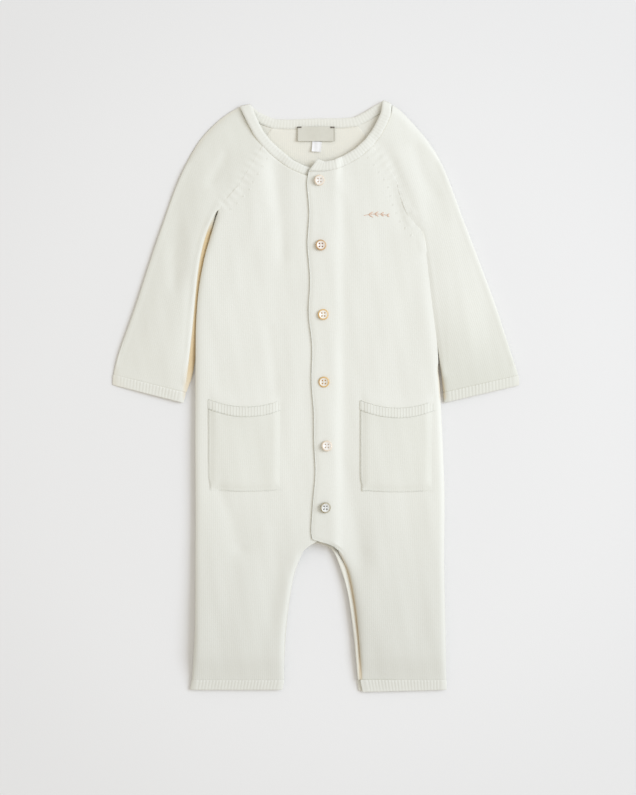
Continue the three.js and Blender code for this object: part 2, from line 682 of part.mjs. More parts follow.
// The back is one panel: full rows above the crotch, then the same columns part into two legs
function makeBack() {
  const radii = [bodyFoldRadius, bodyFoldRadius];
  const frame = { radii, top: () => 0, faceDown: true };
  const perLeg = turnSteps.length * 2 + legSteps + 1; // columns of one leg
  const bodySteps = 2 * perLeg + crotchSteps - 1 - 2 * turnSteps.length - 1;
  const rightEdge = (y) => onEdge(y > rightUnderarm ? rightBackRaglan : rightSide, y);
  const leftEdge = (y) => onEdge(y > leftUnderarm ? leftBackRaglan : leftSide, y);
  const line = neckLine(seamSpans.back);
  const neckRow = layerRow({
    ...frame,
    start: line(0),
    end: line(1),
    startEdge: plainEdge,
    endEdge: plainEdge,
    middleSteps: bodySteps,
    seam: { line, share: 1 },
  });
  const bodyRows = backRows.map(({ right, left }, k) => layerRow({
    ...frame,
    seam: { line, share: neckShare(k + 1) },
    start: rightEdge(right),
    end: leftEdge(left),
    startEdge: lowerSeam(sideFold(right, rightUnderarm)),
    endEdge: lowerSeam(sideFold(left, leftUnderarm)),
    middleSteps: bodySteps,
  }));
  const legRows = backLegRows.map(({ side, rightLeg, leftLeg }) => {
    const right = layerRow({
      ...frame,
      start: onEdge(rightSide, side),
      end: onEdge(underlap, rightLeg),
      startEdge: lowerSeam(1),
      endEdge: lowerSeam(inseamFold(rightLeg)),
      middleSteps: legSteps,
    });
    const left = layerRow({
      ...frame,
      start: onEdge(backInseam, leftLeg),
      end: onEdge(leftSide, side),
      startEdge: plainEdge,
      endEdge: lowerSeam(1),
      middleSteps: legSteps,
    });
    const between = [];
    for (let k = 1; k < crotchSteps; k += 1) {
      const x = mix(right.at(-1).out.x, left[0].out.x, k / crotchSteps);
      between.push({
        out: new THREE.Vector3(x, crotchHeight, 0),
        inside: new THREE.Vector3(x, crotchHeight, clothThick),
      });
    }
    return [...right, ...between, ...left];
  });
  const firstLegRow = bodyRows.length + 1;
  const gapFrom = perLeg - 1;
  const isCloth = (i, j) => i < firstLegRow || j < gapFrom || j >= gapFrom + crotchSteps;
  return wall([neckRow, ...bodyRows, ...legRows], { kept: isCloth });
}

const neckMargin = 0.015; // share of the neck seam left clear at each end of a sleeve
const sleeveSteps = { upper: 6, lower: 4 };

// A sleeve is a flattened tube. Above the underarm it is open along the two raglan seams.
function makeSleeve(side, rows, underarm) {
  const radii = [sleeveFoldRadius, sleeveFoldRadius];
  const neckFront = neckLine(seamSpans[`${side}SleeveFront`], neckMargin);
  const neckBack = neckLine(seamSpans[`${side}SleeveBack`], neckMargin);
  const ring = (upper, lower) => {
    const above = layerRow({ ...upper, radii, top: sleeveTop, middleSteps: sleeveSteps.upper });
    const below = layerRow({
      ...lower,
      radii,
      top: () => 0,
      faceDown: true,
      middleSteps: sleeveSteps.lower,
    });
    return [...above, ...below.slice(0, -1).toReversed()];
  };
  const neckLayer = (line) => ({
    start: line(0),
    end: line(1),
    startEdge: plainEdge,
    endEdge: tubeEdge(1),
    seam: { line, share: 1 },
  });
  const neckRow = ring(neckLayer(neckFront), neckLayer(neckBack));
  const rings = rows.map(({ x, y, foldX, foldY, backX, backY }, k) => {
    const share = neckShare(k + 1);
    const shape = {
      end: new THREE.Vector2(foldX, foldY),
      startEdge: tubeEdge(sideFold(y, underarm)),
      endEdge: tubeEdge(1),
    };
    return ring(
      { ...shape, start: new THREE.Vector2(x, y), seam: { line: neckFront, share } },
      { ...shape, start: new THREE.Vector2(backX, backY), seam: { line: neckBack, share } },
    );
  });
  return wall([neckRow, ...rings], { closed: (i) => i >= closedFromRow[side] });
}

const ribColumns = (length, pitch) => 2 * Math.round(length / pitch);
const ribAt = (k) => (k % 2 ? ribHeight : 0);
const bandLowerSteps = 4;

// A band of ribs round a leg or a wrist, from its seam edge to its free edge
function makeTubeBand({ edges, pitch, open }) {
  const steps = ribColumns(edges[0].start.distanceTo(edges[0].end) - 2 * sleeveFoldRadius, pitch);
  const rows = edges.map(({ start, end, lowerStart }) => {
    const endEdge = tubeEdge(1);
    const shape = { end, endEdge, radii: [sleeveFoldRadius, sleeveFoldRadius] };
    const upper = layerRow({
      ...shape,
      start,
      startEdge: open ? looseEdge(1) : tubeEdge(1),
      top: () => hemLoft,
      middleSteps: steps,
      raise: (k, column) => (column.edge === 'none' ? ribAt(k) : 0),
    });
    const lower = layerRow({
      ...shape,
      start: lowerStart,
      startEdge: open ? plainEdge : tubeEdge(1),
      top: () => 0,
      faceDown: true,
      middleSteps: bandLowerSteps,
    });
    return [...upper, ...lower.slice(0, -1).toReversed()];
  });
  return wall(rows, { closed: () => !open });
}

function makeCuff(cuff) {
  const edges = cuff.map(({ x, y, foldX, foldY }) => ({
    start: new THREE.Vector2(x, y),
    lowerStart: new THREE.Vector2(x, y),
    end: new THREE.Vector2(foldX, foldY),
  }));
  return makeTubeBand({ edges, pitch: cuffRibPitch, open: false });
}

function makeHem({ open, rows }) {
  const edges = rows.map(({ x, y, lowerX, lowerY, foldX, foldY }) => ({
    start: new THREE.Vector2(x, y),
    lowerStart: new THREE.Vector2(lowerX, lowerY),
    end: new THREE.Vector2(foldX, foldY),
  }));
  return makeTubeBand({ edges, pitch: hemRibPitch, open });
}

// The neckband is a flat ring, open at the front, that turns over at each shoulder
function neckbandRow(at, raised) {
  const k = Math.min(Math.floor(at), neckStations.length - 2);
  const between = (column) => mix(neckStations[k][column], neckStations[k + 1][column], at - k);
  const turned = degrees(between('turned'));
  const lapping = at > neckStations.length / 2 ? lappedTop : bodyTop;
  const free = new THREE.Vector2(between('freeX'), between('freeY'));
  const seam = new THREE.Vector2(between('seamX'), between('seamY'));
  const across = seam.clone().sub(free).normalize();
  const outward = new THREE.Vector2(across.y, -across.x);
  if (outward.y < 0) outward.negate();
  return [free, seam].map((place) => {
    const middle = lapping(place.x, place.y) / 2;
    const height = middle * (1 + Math.cos(turned));
    const faceUp = turned < Math.PI / 2;
    return {
      out: new THREE.Vector3(place.x, place.y, height + (faceUp ? raised : 0)),
      inside: new THREE.Vector3(
        place.x - outward.x * Math.sin(turned) * clothThick,
        place.y - outward.y * Math.sin(turned) * clothThick,
        height - Math.cos(turned) * clothThick + (faceUp ? 0 : raised),
      ),
    };
  });
}

function makeNeckband() {
  const rows = [];
  let count = 0;
  for (let k = 0; k < neckStations.length - 1; k += 1) {
    const a = neckStations[k];
    const b = neckStations[k + 1];
    const alongX = b.freeX + b.seamX - a.freeX - a.seamX;
    const alongY = b.freeY + b.seamY - a.freeY - a.seamY;
    const length = Math.hypot(alongX, alongY) / 2;
    const flat = a.turned === b.turned && k >= ribbedFrom;
    const steps = flat ? ribColumns(length, neckRibPitch) : 2;
    for (let n = 0; n < steps; n += 1) {
      rows.push(neckbandRow(k + n / steps, flat ? ribAt(count) : 0));
      count += flat ? 1 : 0;
    }
  }
  rows.push(neckbandRow(neckStations.length - 1, 0));
  return wall(rows);
}

// Lowest height at which a thing lies clear on a panel: the panel's own facets, seen from above
function heightOver(geometry) {
  const position = geometry.getAttribute('position');
  const index = geometry.getIndex();
  const point = (k) => new THREE.Vector3().fromBufferAttribute(position, index.getX(k));
  const triangles = [];
  for (let k = 0; k < index.count; k += 3) {
    triangles.push(new THREE.Triangle(point(k), point(k + 1), point(k + 2)));
  }
  const weights = new THREE.Vector3();
  return (x, y) => triangles.reduce((best, { a, b, c }) => {
    if (x < Math.min(a.x, b.x, c.x) || x > Math.max(a.x, b.x, c.x)) return best;
    if (y < Math.min(a.y, b.y, c.y) || y > Math.max(a.y, b.y, c.y)) return best;
    const area = (b.x - a.x) * (c.y - a.y) - (c.x - a.x) * (b.y - a.y);
    if (Math.abs(area) < 1e-9) return best;
    weights.y = ((x - a.x) * (c.y - a.y) - (c.x - a.x) * (y - a.y)) / area;
    weights.z = ((b.x - a.x) * (y - a.y) - (x - a.x) * (b.y - a.y)) / area;
    weights.x = 1 - weights.y - weights.z;
    if (Math.min(weights.x, weights.y, weights.z) < -1e-6) return best;
    return Math.max(best, weights.x * a.z + weights.y * b.z + weights.z * c.z);
  }, 0);
}

const pocketSteps = { across: 8, down: 8 };

// A pocket and its band lie on the front's own surface, moved out
const mouthY = (pocket, across) => pocket.top - pocket.sag * (1 - across ** 2);
const gape = (across, belowMouth) => (
  mouthLift.rise * (1 - across ** 2) * Math.exp(-((belowMouth / mouthLift.depth) ** 2))
);

function onPanel(over, x, y, extra, raised) {
  const height = over(x, y) + layerGap + extra;
  return {
    out: new THREE.Vector3(x, y, height + clothThick + raised),
    inside: new THREE.Vector3(x, y, height),
  };
}

function makePocket(pocket, over) {
  const rows = [];
  for (let i = 0; i <= pocketSteps.down; i += 1) {
    const down = i / pocketSteps.down;
    const row = [];
    for (let j = 0; j <= pocketSteps.across; j += 1) {
      const across = 2 * j / pocketSteps.across - 1;
      const first = mouthY(pocket, across) - pocketBandDepth - seamGap;
      const y = mix(first, pocket.bottom - pocketBottomSag * (1 - across ** 2), down);
      const { radius, inset } = pocketCorner;
      const intoCorner = clamp01((pocket.bottom + radius - y) / radius);
      const drawnIn = inset * (1 - Math.sqrt(1 - intoCorner ** 2));
      const x = pocket.x + across * (pocket.halfWidth - drawnIn);
      row.push(onPanel(over, x, y, gape(across, mouthY(pocket, across) - y), 0));
    }
    rows.push(row);
  }
  return wall(rows);
}

function makePocketBand(pocket, over) {
  const count = ribColumns(2 * pocket.halfWidth, pocketRibPitch);
  const rows = [0, pocketBandDepth].map((down) => {
    const row = [];
    for (let j = 0; j <= count; j += 1) {
      const across = 2 * j / count - 1;
      const y = mouthY(pocket, across) - down;
      const x = pocket.x + across * pocket.halfWidth;
      row.push(onPanel(over, x, y, gape(across, down), ribAt(j)));
    }
    return row;
  });
  return wall(rows);
}

const wasm = await Module();
wasm.setup();

function toSolid(geometry) {
  const bare = geometry.clone();
  bare.deleteAttribute('normal');
  bare.deleteAttribute('uv');
  const merged = mergeVertices(bare, 1e-4);
  return new wasm.Manifold(new wasm.Mesh({
    numProp: 3,
    vertProperties: merged.getAttribute('position').array,
    triVerts: new Uint32Array(merged.getIndex().array),
  }));
}

function toGeometry(solid) {
  const { vertProperties, triVerts } = solid.getMesh();
  const geometry = new THREE.BufferGeometry();
  geometry.setAttribute('position', new THREE.BufferAttribute(vertProperties, 3));
  geometry.setIndex(new THREE.BufferAttribute(triVerts, 1));
  geometry.computeVertexNormals();
  return geometry;
}

// A four-hole button, its back at height 0 and its face up
function makeButton() {
  const profile = buttonProfile.map(({ radius, height }) => new THREE.Vector2(radius, height));
  const disc = new THREE.LatheGeometry(profile, buttonSides).rotateX(Math.PI / 2);
  let solid = toSolid(disc);
  [-1, 1].forEach((sideX) => [-1, 1].forEach((sideY) => {
    const hole = new THREE.CylinderGeometry(buttonHoleRadius, buttonHoleRadius, 6, 6)
      .rotateX(Math.PI / 2)
      .translate(sideX * buttonHoleOffset, sideY * buttonHoleOffset, 0);
    solid = solid.subtract(toSolid(hole));
  }));
  return toGeometry(solid);
}

// Sets a button on the cloth: leaning, and as low as its back stays clear
const backShare = buttonProfile[1].radius / buttonRadius;
function placeButton(mesh, { x, y, leanX, leanY }, over) {
  mesh.rotation.set(degrees(leanX), degrees(leanY), 0);
  let height = 0;
  for (let k = 0; k < buttonSides; k += 1) {
    const angle = 2 * Math.PI * k / buttonSides;
    [0, 0.5, backShare].forEach((share) => {
      const foot = new THREE.Vector3(Math.cos(angle), Math.sin(angle), 0)
        .multiplyScalar(share * buttonRadius)
        .applyEuler(mesh.rotation);
      height = Math.max(height, over(x + foot.x, y + foot.y) - foot.z);
    });
  }
  mesh.position.set(x, y, height + buttonClear);
}

function makeLabel({ width, depth }) {
  return new THREE.BoxGeometry(width, depth, labelThick);
}

const rightFront = makeRightFront();
const leftFront = makeLeftFront();

addPiece('back', makeBack(), ivory);
addPiece('front_right', rightFront, ivory);
addPiece('front_left', leftFront, ivory);
addPiece('sleeve_right', makeSleeve('right', rightSleeveRows, rightUnderarm), ivory);
addPiece('sleeve_left', makeSleeve('left', leftSleeveRows, leftUnderarm), ivory);
addPiece('neckband', makeNeckband(), ivoryBand);
Object.entries(cuffs).forEach(([name, cuff]) => addPiece(name, makeCuff(cuff), ivoryBand));
Object.entries(hems).forEach(([name, hem]) => addPiece(name, makeHem(hem), ivoryBand));

Object.entries({ right: rightFront, left: leftFront }).forEach(([side, front]) => {
  const over = heightOver(front);
  addPiece(`pocket_${side}`, makePocket(pockets[side], over), ivory);
  addPiece(`pocket_band_${side}`, makePocketBand(pockets[side], over), ivoryBand);
});

buttons.forEach((button, k) => {
  placeButton(addPiece(`button_${k + 1}`, makeButton(), pearl), button, heightOver(leftFront));
});

Object.entries(labels).forEach(([name, label]) => {
  const mesh = addPiece(name, makeLabel(label), labelCloth);
  mesh.position.set(label.x, label.y, label.height + labelThick / 2);
  mesh.rotation.z = degrees(label.lean);
});

// The origin is the middle of the footprint, on the floor
const box = new THREE.Box3().setFromObject(romper);
const middle = box.getCenter(new THREE.Vector3());
romper.children.forEach((piece) => {
  piece.position.x -= middle.x;
  piece.position.y -= middle.y;
});

export default romper;
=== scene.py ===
import bpy
import bmesh
import math
import numpy as np
from mathutils import Matrix, Vector
from mathutils.bvhtree import BVHTree
from mathutils.kdtree import KDTree


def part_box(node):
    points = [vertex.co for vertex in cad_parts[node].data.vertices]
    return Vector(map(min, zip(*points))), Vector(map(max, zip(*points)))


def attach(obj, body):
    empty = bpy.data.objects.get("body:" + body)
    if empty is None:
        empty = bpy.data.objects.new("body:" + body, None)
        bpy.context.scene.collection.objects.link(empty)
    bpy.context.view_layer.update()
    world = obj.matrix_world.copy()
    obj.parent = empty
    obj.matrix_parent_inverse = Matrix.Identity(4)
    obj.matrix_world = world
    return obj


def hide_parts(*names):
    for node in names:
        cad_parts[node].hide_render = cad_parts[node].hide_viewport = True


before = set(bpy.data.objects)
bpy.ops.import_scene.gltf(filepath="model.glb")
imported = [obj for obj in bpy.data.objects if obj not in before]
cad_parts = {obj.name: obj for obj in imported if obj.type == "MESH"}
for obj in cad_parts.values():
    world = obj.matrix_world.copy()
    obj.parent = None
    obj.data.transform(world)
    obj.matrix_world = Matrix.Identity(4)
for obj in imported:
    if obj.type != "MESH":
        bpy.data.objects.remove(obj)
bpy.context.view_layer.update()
print("frame loaded")

mm = 0.001
patternShift = (-0.25, -0.35)  # the pattern's origin in the frame, in millimetres


# A place in the frame from millimetres of the pattern
def place(x, y, z=0.0):
    return Vector(((x + patternShift[0]) * mm, (y + patternShift[1]) * mm, z * mm))


# The camera looks straight down
view = {"lens": 85, "sensor": 36, "x": 2.29, "y": -0.92, "height": 1723}

scene = bpy.context.scene
cameraData = bpy.data.cameras.new("camera")
cameraData.lens = view["lens"]
cameraData.sensor_width = view["sensor"]
camera = bpy.data.objects.new("camera", cameraData)
camera.location = place(view["x"], view["y"], view["height"])
scene.collection.objects.link(camera)
scene.camera = camera
scene.view_settings.view_transform = "Standard"

# Folds of the upper cloth, in the pattern's millimetres: three points of each line, its half
# width, and how far it rises or falls. They add to the soft ones that the solids have.
folds = [
    # right front, from the neck down
    (-40, 214, -31, 160, -30, 128, 5, -0.56),
    (-27, 190, -22, 150, -24, 110, 9, 0.43),
    (-74, 160, -72, 130, -76, 100, 8, 0.31),
    (-58, 206, -56, 170, -60, 140, 7, 0.37),
    (-42, 62, -38, 30, -35, -2, 5, -0.43),
    (-22, 60, -20, 10, -24, -50, 8, 0.31),
    (-88, -84, -76, -112, -70, -140, 6, -0.50),
    (-96, -100, -90, -140, -88, -190, 8, 0.37),
    (-36, -120, -34, -160, -40, -200, 8, -0.43),
    (-60, -160, -62, -190, -58, -220, 10, 0.25),
    # left front
    (27, 192, 31, 120, 31, 50, 11, 0.50),
    (44, 180, 47, 120, 46, 60, 14, 0.20),
    (31, 44, 33, -20, 34, -66, 11, 0.55),
    (32, -70, 37, -110, 44, -150, 7, -0.50),
    (52, -140, 56, -180, 66, -226, 8, 0.31),
    (84, -120, 88, -160, 92, -210, 9, -0.25),
    (60, 120, 66, 80, 64, 30, 10, 0.25),
    (90, 110, 88, 70, 92, 30, 8, -0.25),
    (104, -100, 104, -160, 106, -220, 7, 0.25),
    (72, 214, 84, 186, 92, 158, 5, -0.50),
    # right sleeve
    (-128, 190, -130, 150, -128, 100, 6, -0.50),
    (-112, 150, -122, 90, -132, 40, 8, 0.31),
    (-146, 120, -158, 70, -168, 30, 8, -0.31),
    (-96, 196, -90, 206, -82, 222, 5, -0.56),
    # left sleeve
    (90, 226, 98, 204, 108, 184, 6, -0.56),
    (108, 222, 118, 196, 126, 170, 7, 0.37),
    (118, 150, 132, 100, 142, 50, 8, 0.31),
    (146, 120, 150, 90, 160, 60, 8, -0.37),
]

# Small unevenness of cloth that lies loose: rise, length of a swell and the way it runs
swells = [
    (0.13, 46, 12, 0.4),
    (0.16, 61, 71, 2.1),
    (0.09, 33, 155, 4.0),
    (0.08, 24, 40, 1.3),
    (0.05, 17, 103, 5.2),
    (0.035, 12, 20, 3.3),
]

# Lines where the sleeves are sewn on, and the puckers beside them
raglans = [
    [(-48, 228.6), (-60.5, 207.5), (-69.5, 192), (-79, 181), (-88.3, 172.5)],
    [(51.4, 228.8), (63, 213.8), (73.7, 198.2), (80.1, 177.3), (86, 162.5), (96.3, 150)],
]
pucker = {"rise": 0.20, "reach": 6, "pitch": 6.5, "groove": 0.08, "grooveWidth": 2.4}
# The cloth is levelled up to those seams, and their cut edges are drawn together
level = {"height": 7.3, "share": 0.8, "reach": 6.5, "neck": 14, "close": 0.8, "closeReach": 3.0}
# Stretches of those seams that are closed more: inside the neck and down to the underarms
closedSeams = [
    [(-46, 236), (-38.5, 246.5)], [(48, 235), (39.5, 249)],
    [(-71, 188.5), (-79.5, 181), (-88, 173)], [(76.5, 188), (80.5, 179.5), (86, 169.5), (91, 159)],
]

# The cloth stands up slowly along a leg or sleeve, then runs down into its hem or cuff
puffs = {
    "leg": {"above": 24, "before": 85, "after": 14, "rise": 2.3},
    "sleeve": {"above": 27, "before": 60, "after": 19, "rise": 1.1},
}
legHem = -259.9
cuffLine = {"x": 119.4, "y": 3.2, "slope": 0.25, "inside": 8, "over": 10}  # slants up towards the outer fold
bandDepth = 8.6


# Distance of points to a line of points, and how far along the nearest place is
def alongLine(x, y, line):
    nearest = np.full(x.shape, 1e9)
    travelled = np.zeros(x.shape)
    before = 0.0
    for (ax, ay), (bx, by) in zip(line, line[1:]):
        length = math.hypot(bx - ax, by - ay)
        share = np.clip(((x - ax) * (bx - ax) + (y - ay) * (by - ay)) / length**2, 0, 1)
        distance = np.hypot(x - ax - share * (bx - ax), y - ay - share * (by - ay))
        closer = distance < nearest
        nearest[closer] = distance[closer]
        travelled[closer] = before + share[closer] * length
        before += length
    return nearest, travelled


def foldHeight(x, y):
    height = np.zeros(x.shape)
    for x1, y1, x2, y2, x3, y3, width, rise in folds:
        distance, _ = alongLine(x, y, [(x1, y1), (x2, y2), (x3, y3)])
        height += rise * np.exp(-((distance / width) ** 2))
    for rise, length, turn, phase in swells:
        turned = math.radians(turn)
        run = (x * math.cos(turned) + 0.45 * y * math.sin(turned)) / length
        height += rise * np.sin(2 * math.pi * run + phase)
    for line in raglans:
        distance, travelled = alongLine(x, y, line)
        wave = np.sin(2 * math.pi * travelled / pucker["pitch"])
        height += pucker["rise"] * wave * np.exp(-((distance / pucker["reach"]) ** 2))
        height -= pucker["groove"] * np.exp(-((distance / pucker["grooveWidth"]) ** 2))
    onSleeve = np.clip((np.abs(x) - cuffLine["x"] + cuffLine["inside"]) / cuffLine["over"], 0, 1)
    height += puffHeight(y - legHem, puffs["leg"])
    height += onSleeve * puffHeight(overCuff(x, y), puffs["sleeve"])
    return height


def puffHeight(up, puff):
    past = up - puff["above"]
    reach = np.where(past > 0, puff["before"], puff["after"])
    return puff["rise"] * np.exp(-((past / reach) ** 2))


def overCuff(x, y):
    return y - cuffLine["y"] - cuffLine["slope"] * (np.abs(x) - cuffLine["x"])


# Bands and the outer folds of the sleeves lie flatter than the rest
outerFolds = {
    "right": [(-68, 266), (-91, 251), (-112, 226), (-126, 197), (-146, 141), (-173, 60), (-186, 11)],
    "left": [(69, 268), (95, 243), (116, 213), (133, 168), (156, 107), (177, 46), (186, 11)],
}
flatter = {"right": 0.62, "left": 0.30, "reach": 50, "band": 0.36}


def flatShare(node, x, y):
    share = np.ones(x.shape)
    if node.startswith(("sleeve", "cuff")):
        side = node.split("_")[1]
        distance, _ = alongLine(x, y, outerFolds[side])
        share -= flatter[side] * (1 - np.clip(distance / flatter["reach"], 0, 1)) ** 1.5
    if node.startswith("hem"):
        share *= 1 - flatter["band"] * np.clip((legHem - y) / bandDepth, 0, 1)
    if node.startswith("cuff"):
        share *= 1 - flatter["band"] * np.clip(-overCuff(x, y) / bandDepth, 0, 1)
    return share


# Free edges are thin: the upper face comes down there
lappedEdge = [
    (-5.6, 206.2), (-7.8, 196), (-5.1, 168), (-7.4, 139), (-4.2, 106), (-6.5, 76), (-2.4, 46), (-3.8, 14),
    (-0.8, -18), (-1.5, -45), (0.9, -66), (-2.4, -100), (-4, -125), (-2.4, -130.4), (4, -132.4), (13.8, -135),
    (22, -138.8), (26.6, -145), (33.4, -174.4), (37.1, -196.3), (39.8, -229), (41.3, -259.5),
]
thinEdge = {"lap": 1.75, "lapReach": 32, "lapRim": 0.45, "rimReach": 2.2, "pocket": 1.35,
            "sewnIn": 1.25, "sewnReach": 4.5, "sunnySide": 0.5, "sunnyReach": 9,
            "mouth": 1.0, "mouthReach": 6}

# The body's side by the right sleeve is full, and its upper part stands out a little: where it
# runs, how far out and how much fuller
bodySide = {"y": [-259.5, -220, -150, -40, 5, 72, 103, 131, 152],
            "x": [-113, -110.2, -108.4, -108.7, -108.8, -108.4, -105.7, -100.6, -94.5],
            "out": [0.3, 0.5, 2.6, 3.0, 2.8, 2.6, 2.2, 1.5, 0.5],
            "fuller": [0, 0, 0.4, 0.8, 0.9, 0.9, 0.9, 0.7, 0.2], "reach": 9, "upTo": -85}

# The right sleeve's inner fold slopes down to the body's side
sleeveSlope = {"y": [4, 14, 24, 55, 88, 120, 152, 170],
               "x": [-119, -118.3, -117, -114.5, -111.7, -106.5, -100.2, -89],
               "out": [1.5, 5.4, 7.0, 7.2, 6.5, 6.5, 5.7, 0], "reach": 9, "top": 4.8, "depth": 3.9}

# Places where the cloth gets painted shade, a warm tan for light that has bounced from cloth to cloth:
# pieces, line, reach, height up to which, strength
bounced = [
    ("sleeve cuff", [(-88, 174), (-97, 152), (-103, 120), (-109, 88), (-112, 55), (-113, 24), (-113, 0)],
     6, 7.8, 0.95),
    ("sleeve cuff front back", [(107, 88), (109.5, 64), (112, 40), (114, 16), (115.5, 0)], 3.5, 6.6, 0.6),
    ("front back", [(22, -138.8), (26.6, -145), (33.4, -174.4), (37.1, -196.3), (39.8, -229), (41.3, -258)],
     1.4, 6.5, 0.6),
]
bounceFade = {"full": 1.6, "depth": 3}

underarm = {"from": 166, "over": 16}  # that painted shade starts below it

# Elsewhere the cloth is full up to its edge: the upper face is raised where the solid rolls over
fullEdge = {"rise": 1.9, "reach": 6.5, "from": 0.0032, "to": 0.005, "y": [-130, -85], "share": [0.1, 1.0],
            "lapFrom": 6, "lapOver": 8}

# The lap's corner at the crotch is drawn in, and the back's open inseam curls up beside it
crotchCorner = {"x": 26, "y": -145, "in": 3.0, "reach": 11}
inseamCurl = {"line": [(15.5, -137), (24.6, -158.8), (31.6, -188), (36.6, -220), (39.2, -259)], "rise": 1.7,
              "reach": 3.2}

# The body's side lies on the left sleeve's inner fold from the underarm most of the way down
innerFold = {"line": [(97, 150.5), (101.2, 135.3), (104, 112), (106.2, 94), (108.2, 77), (110.6, 58),
                      (113, 32)],
             "from": 14, "over": 40, "sleeveIn": 0.9, "sleeveDown": 0.4, "sleeveReach": 9,
             "bodyOut": 2.8, "bodyUp": 0.4, "bodyReach": 6,
             "height": 7.0, "share": 0.85, "levelFrom": 5, "levelOver": 35, "levelReach": 4.5}


# Materials


# Adds nodes to one material and joins them
def nodeTools(material):
    tree = material.node_tree

    def feed(socket, value):
        if isinstance(value, bpy.types.NodeSocket):
            tree.links.new(value, socket)
        else:
            socket.default_value = value

    def add(kind, values=(), **settings):
        node = tree.nodes.new(kind)
        for key, value in settings.items():
            setattr(node, key, value)
        for key, value in dict(values).items():
            feed(node.inputs[key], value)
        return node

    def math2(operation, a, b=0.0):
        node = add("ShaderNodeMath", operation=operation)
        feed(node.inputs[0], a)
        feed(node.inputs[1], b)
        return node.outputs[0]

    return add, math2


def newMaterial(name, roughness, sheen=0.0, coat=0.0):
    material = bpy.data.materials.new(name)
    material.use_nodes = True
    shader = material.node_tree.nodes["Principled BSDF"]
    shader.inputs["Roughness"].default_value = roughness
    shader.inputs["Sheen Weight"].default_value = sheen
    shader.inputs["Sheen Roughness"].default_value = 0.5
    shader.inputs["Coat Weight"].default_value = coat
    return material, shader


knitLook = {
    "colour": (0.800, 0.806, 0.750),
    "inside": (0.826, 0.812, 0.726),  # the face that shows in the neck
    "hollow": (0.775, 0.777, 0.708),  # painted shade between the wales; it is also the darker end of the random mottle
    "bounceShade": (0.690, 0.540, 0.325),  # painted shade: low down, where light has only bounced from cloth to cloth, the cloth is a darker warm tan
    "deepUpTo": 0.0026,
    "deepShare": 0.68,
    # painted shade: the tone darkens along Y, and its colour grows stronger, towards "from": from, to, then
    # the tone and the strength of its colour at "from"
    "ends": {
        "body": (-0.262, -0.03, 0.880, 1.05),
        "rib": (-0.262, -0.03, 0.92, 1.0),
        "band": (0.1, 0.2, 0.96, 1.1),
        "pocket": (0.1, 0.2, 0.965, 1.12),
        "right": (0.16, -0.05, 0.965, 1.1),
        "left": (0.0, 0.10, 0.895, 1.35),
        "cuff": (0.1, 0.2, 0.935, 1.15),
    },
    "wale": 0.00185,
    "course": 0.0016,
    "relief": 0.0005,
}


